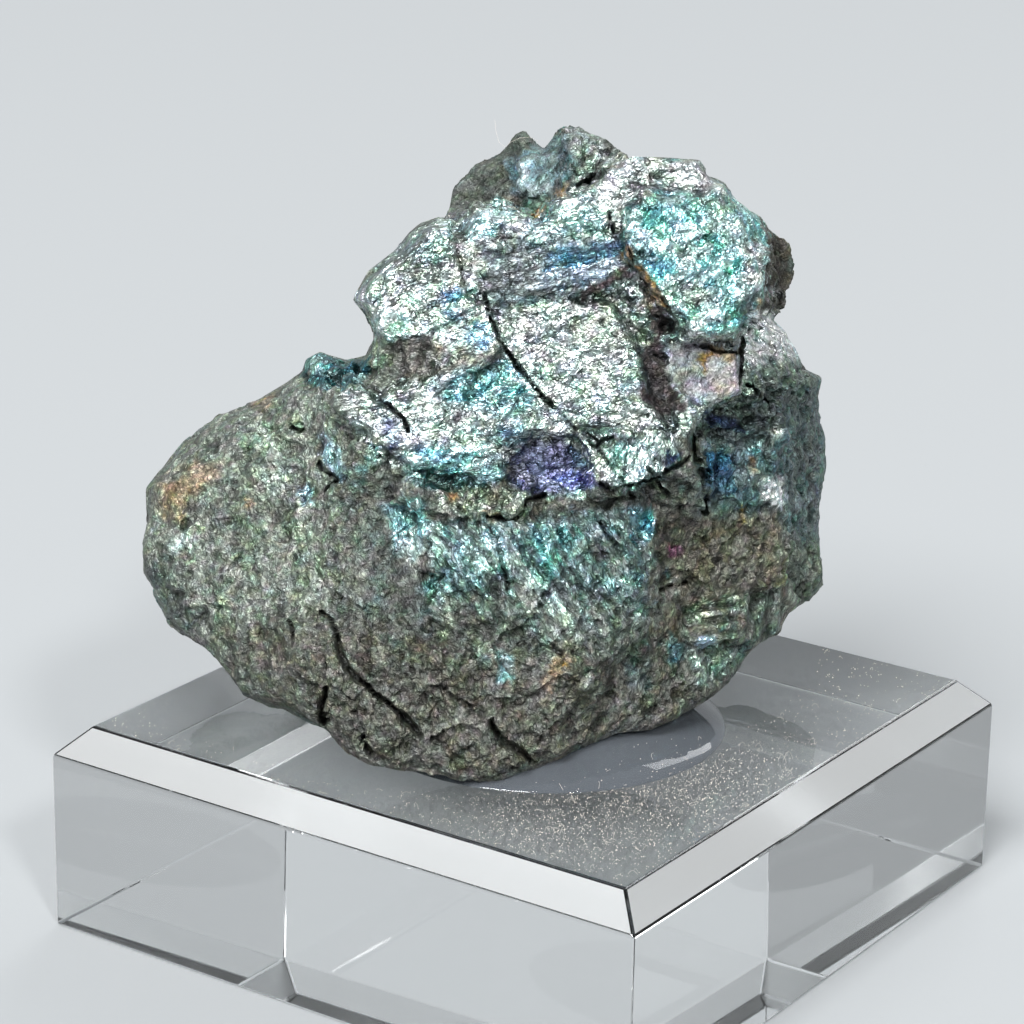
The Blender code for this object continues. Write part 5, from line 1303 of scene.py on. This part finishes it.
def paint(mesh):
    """Give each vertex its tarnish colour, with painted shade in its hollows and painted highlight on its
    crests and blades, how bright its flakes are and which way its grain runs.
    """
    points = get_points(mesh)
    points[:, 2] -= BLOCK_TOP
    u, v, toward = seen_at(points)
    angle = np.arctan2(v - STONE_MIDDLE[1], u - STONE_MIDDLE[0])
    front = smooth_step((toward - rim_at(angle)[1]) / FRONT_FADE + FRONT_OVERLAP)
    facing = get_normals(mesh)
    for _ in range(3):
        facing = neighbour_mean(mesh, facing)
    in_view = front * smooth_step(facing @ display_axes()[2] / PATCH_TURN + 0.2)

    stone = bpy.context.scene.chalcocite_stone
    broad = lumps(points, ROCK_LUMPS[0], 1.0)
    medium = lumps(points, ROCK_LUMPS[1], 2.0)
    small = lumps(points, ROCK_LUMPS[2], 3.0)
    tint = np.tile(np.array(stone.rock_light), (len(points), 1))
    for colour_value, weight in (
        (stone.rock_dark, smooth_step(0.5 + 1.6 * (broad + 0.4 * medium))),
        (stone.rock_warm, smooth_step(0.1 - 1.6 * (broad - 0.5 * small))),
        (stone.rock_tarnish, 0.7 * smooth_step(2.5 * (medium - 0.25) + small)),
    ):
        tint += (np.array(colour_value) - tint) * weight[:, None]
    sheen = 0.3 + 0.15 * medium

    wander = PATCH_WANDER * vector_noise(points, PATCH_WANDER_SIZES[0], 7.0)
    wander += 0.6 * PATCH_WANDER * vector_noise(points, PATCH_WANDER_SIZES[1], 8.0)
    patch_u = u + wander[:, 0]
    patch_v = v + wander[:, 1]
    mottle = lumps(points, MOTTLE_SIZES[0], 4.0) + 0.5 * vector_noise(points, MOTTLE_SIZES[1], 6.0)[:, 0]
    uneven = 1.0 - PATCH_GAPS * smooth_step(0.35 + 1.3 * mottle)
    for name, bright, strength, edge, outline in PATCHES.values():
        gaps = uneven if strength < 1.0 else 1.0
        reach = front if name in WIDE_COLOURS else in_view
        weight = strength * cover(patch_u, patch_v, outline, edge * MM) * reach * gaps
        tint += (np.array(linear(COLOURS[name])) - tint) * weight[:, None]
        sheen += (bright - sheen) * weight

    # Painted shade, with some dirt, darkens the hollows where shade falls, and painted highlight lightens the
    # crests
    deep = hollowness(mesh, 3)
    shade = 1.0 - HOLLOW_SHADE_AND_DIRT * smooth_step(deep / HOLLOW_DEPTH)
    shade += CREST_PAINTED_HIGHLIGHT * smooth_step(-deep / HOLLOW_DEPTH)
    # Painted light and shade on the blades and ribs: lighter on their crests, darker between them
    ridge, tall = blade_relief(u, v)
    shade *= 1.0 + BLADE_PAINTED_LIGHT * (ridge - 0.45) * (tall > 0.0) * front
    grit = vector_noise(points, GRIT_SIZES[0], 14.0) + 0.7 * vector_noise(points, GRIT_SIZES[1], 15.0)
    tint *= shade[:, None] * (1.0 + GRIT_COLOUR * grit) * np.array(TONE)
    sheen = np.clip(sheen + 0.25 * (ridge - 0.5) * (tall > 0.0) * front, 0.0, 1.0)
    store(mesh, "tint", "FLOAT_COLOR", np.hstack((np.clip(tint, 0.0, 1.0), np.ones((len(points), 1)))))
    store(mesh, "sheen", "FLOAT", sheen)
    store(mesh, "grain", "FLOAT_VECTOR", grain_lines(mesh, u, v, toward, front), "CORNER")


def store(mesh, name, kind, values, domain="POINT"):
    """Keep values at the mesh's vertices or corners under a name that the material reads."""
    layer = mesh.attributes.new(name, kind, domain)
    field = {"FLOAT_COLOR": "color", "FLOAT_VECTOR": "vector"}.get(kind, "value")
    layer.data.foreach_set(field, np.ascontiguousarray(values, dtype=np.float32).ravel())


def tarnished_chalcocite(stone):
    """Freshly broken chalcocite, a soft grey copper sulphide, tarnished in the open.

    Its small cleavage flakes are mirrors that lean every way, so each one is bright or dark by itself.
    """
    mat, shader = new_material("tarnished_chalcocite")
    tree = mat.node_tree
    place = add_node(tree, "ShaderNodeTexCoord").outputs["Object"]
    tint = add_node(tree, "ShaderNodeAttribute", attribute_name="tint").outputs["Color"]
    sheen = add_node(tree, "ShaderNodeAttribute", attribute_name="sheen").outputs["Fac"]

    grain = add_node(tree, "ShaderNodeAttribute", attribute_name="grain").outputs["Vector"]

    # Flakes with crooked edges, drawn out along the grain, in two sizes
    crooked = add_node(tree, "ShaderNodeTexNoise", {"Vector": place, "Scale": 1.0 / CROOKED_SIZE,
                                                    "Detail": 1.0})
    pushed = add_node(tree, "ShaderNodeVectorMath", {0: crooked.outputs["Color"], 1: (0.5, 0.5, 0.5)},
                      operation="SUBTRACT")
    scaled = add_node(tree, "ShaderNodeVectorMath", {0: pushed.outputs[0], "Scale": CROOKED_PUSH},
                      operation="SCALE")
    bent = add_node(tree, "ShaderNodeVectorMath", {0: grain, 1: scaled.outputs[0]}).outputs[0]
    flakes = add_node(tree, "ShaderNodeTexVoronoi", {"Vector": bent, "Scale": 1.0 / stone.flake})
    shards = add_node(tree, "ShaderNodeTexVoronoi", {"Vector": bent, "Scale": 1.0 / stone.shard})
    joints = add_node(tree, "ShaderNodeTexVoronoi", {"Vector": bent, "Scale": 1.0 / stone.flake},
                      feature="DISTANCE_TO_EDGE")

    # Fine wavy relief of the broken metal, coarser on the flaky faces and finer on the grainy ones
    wavy = add_node(tree, "ShaderNodeTexNoise", {"Vector": bent, "Scale": 1.0 / WAVY_SIZE, "Detail": 1.5})
    fine = add_node(tree, "ShaderNodeTexNoise", {"Vector": bent, "Scale": 1.0 / FINE_SIZE, "Detail": 1.0})
    finer = add_node(tree, "ShaderNodeMapRange", {0: sheen, 3: 0.6, 4: 0.25})
    mixed = add_node(tree, "ShaderNodeMath", {0: fine.outputs[0], 1: finer.outputs[0], 2: wavy.outputs[0]},
                     operation="MULTIPLY_ADD")
    relief = add_node(tree, "ShaderNodeBump", {"Height": mixed.outputs[0], "Strength": 1.0,
                                               "Distance": RELIEF_DEPTH})

    # Each flake leans its own way
    lean = relief.outputs[0]
    for cells, amount in ((flakes, FLAKE_LEAN), (shards, SHARD_LEAN)):
        off = add_node(tree, "ShaderNodeVectorMath", {0: cells.outputs["Color"], 1: (0.5, 0.5, 0.5)},
                       operation="SUBTRACT")
        by = add_node(tree, "ShaderNodeVectorMath", {0: off.outputs[0], "Scale": amount}, operation="SCALE")
        lean = add_node(tree, "ShaderNodeVectorMath", {0: lean, 1: by.outputs[0]}).outputs[0]
    lean = add_node(tree, "ShaderNodeVectorMath", {0: lean}, operation="NORMALIZE").outputs[0]

    # Each flake has its own brightness and depth of colour, and the joints between flakes are dark
    parts = add_node(tree, "ShaderNodeSeparateColor", {0: flakes.outputs["Color"]})
    wide = add_node(tree, "ShaderNodeSeparateColor", {0: shards.outputs["Color"]})
    bright = add_node(tree, "ShaderNodeMapRange", {0: parts.outputs[0], 3: 0.65, 4: 1.25})
    broad = add_node(tree, "ShaderNodeMapRange", {0: wide.outputs[0], 3: 0.72, 4: 1.22})
    joint = add_node(tree, "ShaderNodeMapRange", {0: joints.outputs["Distance"], 1: 0.0, 2: 0.12, 3: 0.5,
                                                  4: 1.0})
    both = add_node(tree, "ShaderNodeMath", {0: bright.outputs[0], 1: joint.outputs[0]}, operation="MULTIPLY")
    speckle = add_node(tree, "ShaderNodeMapRange", {0: fine.outputs[0], 1: 0.3, 2: 0.7, 3: 0.6, 4: 1.4})
    peppered = add_node(tree, "ShaderNodeMath", {0: both.outputs[0], 1: speckle.outputs[0]},
                        operation="MULTIPLY")
    all_three = add_node(tree, "ShaderNodeMath", {0: peppered.outputs[0], 1: broad.outputs[0]},
                         operation="MULTIPLY")
    coloured = add_node(tree, "ShaderNodeVectorMath", {0: tint, "Scale": all_three.outputs[0]},
                        operation="SCALE")
    hue = add_node(tree, "ShaderNodeMapRange", {0: parts.outputs[1], 3: 0.487, 4: 0.513})
    vivid = add_node(tree, "ShaderNodeMapRange", {0: wide.outputs[1], 3: 0.45, 4: 1.05})
    turned = add_node(tree, "ShaderNodeHueSaturation", {"Hue": hue.outputs[0], "Color": coloured.outputs[0],
                                                        "Saturation": vivid.outputs[0]})

    rough = add_node(tree, "ShaderNodeMapRange", {0: sheen, 3: 0.5, 4: 0.26})
    varied = add_node(tree, "ShaderNodeMath", {0: parts.outputs[2], 1: 0.16, 2: rough.outputs[0]},
                      operation="MULTIPLY_ADD")
    metal = add_node(tree, "ShaderNodeMapRange", {0: sheen, 1: 0.0, 2: 0.6, 3: 0.05, 4: 1.0})
    tree.links.new(turned.outputs[0], shader.inputs["Base Color"])
    tree.links.new(varied.outputs[0], shader.inputs["Roughness"])
    tree.links.new(metal.outputs[0], shader.inputs["Metallic"])
    tree.links.new(lean, shader.inputs["Normal"])
    return mat


def clear_acrylic(block):
    """Cast acrylic sheet, sawn and polished: water-clear with bright edges."""
    mat, shader = new_material("clear_acrylic", Roughness=0.02, IOR=ACRYLIC_IOR, Transmission_Weight=1.0)
    shader.inputs["Base Color"].default_value = (*block.tint, 1.0)
    return mat


def hazy_acrylic(block):
    """The bevels, sawn and only lightly polished, so that they catch the light as soft white bands."""
    mat, shader = new_material("hazy_acrylic", Roughness=0.3, IOR=ACRYLIC_IOR,
                               Transmission_Weight=BEVEL_CLEARNESS)
    shader.inputs["Base Color"].default_value = (*block.tint, 1.0)
    return mat


def clear_glue(glue):
    """Set clear glue, a smooth drop a little cloudy, with a slight blue tint that is a painted reflection of
    bluish surroundings.
    """
    mat, shader = new_material("clear_glue", Roughness=0.05, IOR=GLUE_IOR, Transmission_Weight=GLUE_CLEARNESS)
    shader.inputs["Base Color"].default_value = (*glue.tint, 1.0)
    return mat


def pale_lint(dust):
    """Household dust and lint: matt, pale and warm."""
    mat, shader = new_material("pale_lint", Roughness=0.9)
    shader.inputs["Base Color"].default_value = (*dust.tint, 1.0)
    return mat


class StoneOperator(bpy.types.Operator):
    """Build the chalcocite with its broken relief and tarnish"""

    bl_idname = "chalcocite.stone"
    bl_label = "Chalcocite"

    def execute(self, context):
        # Vector noise starts from the clock unless it is given a seed
        noise.seed_set(SEED)
        stone = context.scene.chalcocite_stone
        bm = bmesh.new()
        bmesh.ops.create_cube(bm, size=2.0)
        bmesh.ops.subdivide_edges(bm, edges=bm.edges[:], cuts=STONE_CUTS, use_grid_fill=True)
        ball = mesh_from(bm, "ball")
        swollen = np.tan(get_points(ball) * math.pi / 4)
        directions = swollen / np.linalg.norm(swollen, axis=1)[:, None]
        set_points(ball, rest_flat(stone_points(directions)))
        bm = bmesh.new()
        bm.from_mesh(ball)
        bmesh.ops.recalc_face_normals(bm, faces=bm.faces[:])
        bpy.data.meshes.remove(ball)

        mesh = with_modifier(mesh_from(bm, "form"), "REMESH", mode="VOXEL", voxel_size=stone.grain)
        set_points(mesh, rest_flat(broken_relief(get_points(mesh), get_normals(mesh))))
        triangles = sum(len(face.vertices) - 2 for face in mesh.polygons)
        if triangles > stone.triangles:
            kept = stone.triangles / triangles
            mesh = with_modifier(mesh, "DECIMATE", decimate_type="COLLAPSE", ratio=kept)
        mesh.transform(Matrix.Translation((0.0, 0.0, BLOCK_TOP)))
        paint(mesh)
        mesh.shade_flat()
        add_piece("chalcocite_stone", mesh, (tarnished_chalcocite(stone),), ("chalcocite",))
        return {"FINISHED"}


class BlockOperator(bpy.types.Operator):
    """Build the clear acrylic block with its bevelled top and polished edges"""

    bl_idname = "chalcocite.block"
    bl_label = "Acrylic block"

    def execute(self, context):
        block = context.scene.chalcocite_block
        bm = bmesh.new()
        bmesh.ops.create_cube(bm, size=1.0)
        bmesh.ops.scale(bm, vec=(BLOCK_SIDE, BLOCK_SIDE, BLOCK_TOP), verts=bm.verts[:])
        bmesh.ops.translate(bm, vec=(0.0, 0.0, BLOCK_TOP / 2), verts=bm.verts[:])
        top = [edge for edge in bm.edges if all(vert.co.z > BLOCK_TOP / 2 for vert in edge.verts)]
        bmesh.ops.bevel(bm, geom=top, offset=block.bevel, segments=1, profile=0.5, affect="EDGES",
                        material=-1)
        bmesh.ops.bevel(bm, geom=bm.edges[:], offset=block.edge, segments=3, profile=0.5, affect="EDGES",
                        material=-1)
        bm.normal_update()
        for face in bm.faces:
            face.material_index = int(0.6 < face.normal.z < 0.8 and face.calc_area() > block.bevel ** 2)
        add_piece("acrylic_block", mesh_from(bm, "block"), (clear_acrylic(block), hazy_acrylic(block)),
                  ("acrylic_base",))
        return {"FINISHED"}


class GlueOperator(bpy.types.Operator):
    """Build the set drop of glue round the stone's foot"""

    bl_idname = "chalcocite.glue"
    bl_label = "Glue"

    def execute(self, context):
        glue = context.scene.chalcocite_glue
        bm = bmesh.new()
        profile = [(1.0, -GLUE_SUNK)]
        for step in range(GLUE_STEPS + 1):
            turn = step / GLUE_STEPS * math.pi / 2
            profile.append((math.cos(turn), glue.height * math.sin(turn) ** GLUE_SLOPE))
        verts = [bm.verts.new((glue.radius * out, 0.0, up)) for out, up in profile]
        edges = [bm.edges.new(pair) for pair in zip(verts, verts[1:])]
        bmesh.ops.spin(bm, geom=verts + edges, cent=(0.0, 0.0, 0.0), axis=(0.0, 0.0, 1.0),
                       angle=2 * math.pi, steps=GLUE_SPOKES, use_merge=True)
        bmesh.ops.remove_doubles(bm, verts=bm.verts[:], dist=0.001 * MM)
        rim = [edge for edge in bm.edges if edge.is_boundary]
        bmesh.ops.contextual_create(bm, geom=rim)
        bmesh.ops.scale(bm, vec=(1.0, GLUE_NARROWING, 1.0), verts=bm.verts[:])
        bmesh.ops.recalc_face_normals(bm, faces=bm.faces[:])
        bmesh.ops.translate(bm, vec=(*GLUE_MIDDLE, BLOCK_TOP), verts=bm.verts[:])
        mesh = mesh_from(bm, "glue")
        mesh.shade_smooth()
        add_piece("glue_drop", mesh, (clear_glue(glue),), ("glue",))
        return {"FINISHED"}


def surface_under(names):
    """A tree of the finished pieces that something may come to rest on, and where each piece ends in it."""
    verts = []
    faces = []
    ends = []
    for name in names:
        mesh = bpy.data.objects[name].data
        start = len(verts)
        verts.extend(vert.co.copy() for vert in mesh.vertices)
        faces.extend([start + index for index in face.vertices] for face in mesh.polygons)
        ends.append(len(faces))
    return bvhtree.BVHTree.FromPolygons(verts, faces), ends


def settle(tree, stone_end, x, y, limit):
    """Where something dropped at x, y comes to rest, or nothing where the stone is in the way."""
    spot, normal, index, _ = tree.ray_cast(Vector((x, y, DROP_HEIGHT)), Vector((0.0, 0.0, -1.0)))
    if spot is None or index < stone_end or normal.z < 0.5 or abs(x) > limit or abs(y) > limit:
        return None
    return spot


def dusty_spots(rng, number, limit):
    """Places on the block's top: many near the front corner, the rest spread out."""
    crowded = rng.random(number) < DUST_CROWDING
    middle = np.where(rng.random((number, 1)) < 0.5, DUST_CROWDS[0], DUST_CROWDS[1])
    near = middle + rng.normal(0.0, DUST_SPREAD, (number, 2))
    spread = rng.uniform(-limit, limit, (number, 2))
    return np.where(crowded[:, None], near, spread)


def add_fibres(rng, tree, stone_end, dust, limit):
    """Short bent fibres lying where they fell."""
    curve = bpy.data.curves.new("lint", "CURVE")
    curve.dimensions = "3D"
    curve.bevel_depth = dust.fibre_width / 2
    curve.bevel_resolution = 0
    curve.use_fill_caps = True
    routes = [[Vector(point) * MM for point in HAIR]]
    for x, y in dusty_spots(rng, dust.fibres, limit):
        size = rng.uniform(*FIBRE_LENGTHS) ** 2 / FIBRE_LENGTHS[1]
        turn = rng.uniform(0.0, 2 * math.pi)
        bend = rng.normal(0.0, 0.35)
        arch = abs(rng.normal(0.0, 0.3)) * size
        kept = rng.random() < GLUE_DUST
        route = []
        for step in range(FIBRE_STEPS):
            spot = settle(tree, stone_end, x, y, limit)
            if spot is None or (spot.z > BLOCK_TOP + 0.01 * MM and not kept):
                break
            lift = dust.fibre_width * 0.45 + arch * math.sin(math.pi * step / (FIBRE_STEPS - 1))
            route.append(spot + Vector((0.0, 0.0, lift)))
            x += math.cos(turn) * size / FIBRE_STEPS
            y += math.sin(turn) * size / FIBRE_STEPS
            turn += bend
        if len(route) == FIBRE_STEPS:
            routes.append(route)
    for route in routes:
        spline = curve.splines.new("POLY")
        spline.points.add(len(route) - 1)
        for point, place in zip(spline.points, route):
            point.co = (*place, 1.0)
    holder = bpy.data.objects.new("lint", curve)
    bpy.context.scene.collection.objects.link(holder)
    mesh = bpy.data.meshes.new_from_object(holder.evaluated_get(bpy.context.evaluated_depsgraph_get()))
    bpy.data.objects.remove(holder, do_unlink=True)
    add_piece("lint_fibres", mesh, (pale_lint(dust),))


def add_specks(rng, tree, stone_end, dust, limit):
    """Specks of dust, each a small crumb."""
    bm = bmesh.new()
    bmesh.ops.create_icosphere(bm, subdivisions=1, radius=1.0)
    crumb = mesh_from(bm, "crumb")
    corners = get_points(crumb)
    sides = np.array([face.vertices[:] for face in crumb.polygons])
    bpy.data.meshes.remove(crumb)
    verts = []
    faces = []
    for x, y in dusty_spots(rng, dust.specks, limit):
        spot = settle(tree, stone_end, x, y, limit)
        if spot is None or (spot.z > BLOCK_TOP + 0.01 * MM and rng.random() > GLUE_DUST):
            continue
        size = rng.uniform(*SPECK_RADII)
        squash = rng.uniform(0.6, 1.3, 3) * size
        faces.append(sides + len(verts) * len(corners))
        verts.append(corners * squash + np.array(spot) + np.array((0.0, 0.0, 0.6 * size)))
    mesh = bpy.data.meshes.new("dust_specks")
    mesh.from_pydata(np.concatenate(verts).tolist(), [], np.concatenate(faces).tolist())
    add_piece("dust_specks", mesh, (pale_lint(dust),))


class DustOperator(bpy.types.Operator):
    """Scatter lint and dust over the block and the glue, and one hair on the stone"""

    bl_idname = "chalcocite.dust"
    bl_label = "Dust and lint"

    def execute(self, context):
        dust = context.scene.chalcocite_dust
        rng = np.random.default_rng(SEED + 40)
        tree, ends = surface_under(("chalcocite_stone", "acrylic_block", "glue_drop"))
        limit = BLOCK_SIDE / 2 - context.scene.chalcocite_block.bevel - 0.2 * MM
        add_fibres(rng, tree, ends[0], dust, limit)
        add_specks(rng, tree, ends[0], dust, limit)
        return {"FINISHED"}


class StageOperator(bpy.types.Operator):
    """Set the pale floor, the soft lights and the camera"""

    bl_idname = "chalcocite.stage"
    bl_label = "Stage"

    def execute(self, context):
        stage = context.scene.chalcocite_stage
        scene = context.scene
        scene.view_settings.view_transform = "Standard"
        bm = bmesh.new()
        bmesh.ops.create_grid(bm, x_segments=1, y_segments=1, size=FLOOR_SIZE / 2)
        bmesh.ops.translate(bm, vec=(0.0, 0.0, -FLOOR_GAP), verts=bm.verts[:])
        mat, shader = new_material("matt_paper", Roughness=0.85)
        shader.inputs["Base Color"].default_value = (*stage.floor, 1.0)
        floor = bpy.data.objects.new("floor", mesh_from(bm, "floor"))
        floor.data.materials.append(mat)
        scene.collection.objects.link(floor)

        for name, power, size, azimuth, height, distance in LIGHTS:
            lamp = bpy.data.lights.new(name, "AREA")
            lamp.energy = power * stage.key_power
            lamp.size = size
            light = bpy.data.objects.new(name, lamp)
            turn = math.radians(azimuth)
            rise = math.radians(height)
            away = Vector((math.sin(turn) * math.cos(rise), -math.cos(turn) * math.cos(rise), math.sin(rise)))
            light.location = away * distance + Vector(LIGHT_AIM)
            light.rotation_euler = away.to_track_quat("Z", "Y").to_euler()
            scene.collection.objects.link(light)

        world = bpy.data.worlds.new("studio")
        world.use_nodes = True
        tree = world.node_tree
        way = add_node(tree, "ShaderNodeTexCoord").outputs["Generated"]
        behind = (-math.sin(DISPLAY_AZIMUTH), math.cos(DISPLAY_AZIMUTH), 0.0)
        facing = add_node(tree, "ShaderNodeVectorMath", {0: way, 1: behind}, operation="DOT_PRODUCT")
        glow = add_node(tree, "ShaderNodeMapRange", {0: facing.outputs["Value"], 1: -0.3, 2: 0.7,
                                                     3: stage.fill, 4: stage.backdrop})
        back = tree.nodes["Background"]
        back.inputs["Color"].default_value = SKY_COLOUR
        tree.links.new(glow.outputs[0], back.inputs["Strength"])
        scene.world = world

        lens = bpy.data.cameras.new("camera")
        camera = bpy.data.objects.new("camera", lens)
        scene.collection.objects.link(camera)
        scene.camera = camera
        axes = Matrix([Vector(axis) for axis in display_axes()]).transposed().to_4x4()
        turned = axes @ Matrix.Rotation(DISPLAY_ROLL, 4, "Z")
        place = axes @ Vector((*VIEW_AXIS, VIEW_DISTANCE))
        camera.matrix_world = Matrix.Translation(place + Vector((0.0, 0.0, BLOCK_TOP))) @ turned
        lens.sensor_width = VIEW_WIDTH / MM
        lens.lens = VIEW_DISTANCE / MM
        lens.clip_start = 0.01
        return {"FINISHED"}


class SpecimenPanel(bpy.types.Panel):
    """Lists the pieces of the specimen"""

    bl_idname = "VIEW3D_PT_chalcocite"
    bl_label = "Chalcocite"
    bl_space_type = "VIEW_3D"
    bl_region_type = "UI"
    bl_category = "Chalcocite"

    def draw(self, context):
        for operator in OPERATORS:
            self.layout.operator(operator.bl_idname)
        for name, group in SETTINGS.items():
            box = self.layout.box()
            for field in group.__annotations__:
                box.prop(getattr(context.scene, name), field)


OPERATORS = (StoneOperator, BlockOperator, GlueOperator, DustOperator, StageOperator)


def register():
    """Register the settings, the operators and the panel."""
    for name, group in SETTINGS.items():
        bpy.utils.register_class(group)
        setattr(bpy.types.Scene, name, PointerProperty(type=group))
    for kind in OPERATORS + (SpecimenPanel,):
        bpy.utils.register_class(kind)


def unregister():
    """Take back what register added."""
    for kind in (SpecimenPanel,) + OPERATORS[::-1]:
        bpy.utils.unregister_class(kind)
    for name, group in reversed(SETTINGS.items()):
        delattr(bpy.types.Scene, name)
        bpy.utils.unregister_class(group)


def main():
    """Build the pieces and the stage."""
    register()
    bpy.ops.chalcocite.stone()
    bpy.ops.chalcocite.block()
    bpy.ops.chalcocite.glue()
    bpy.ops.chalcocite.dust()
    bpy.ops.chalcocite.stage()


if __name__ == "__main__":
    main()
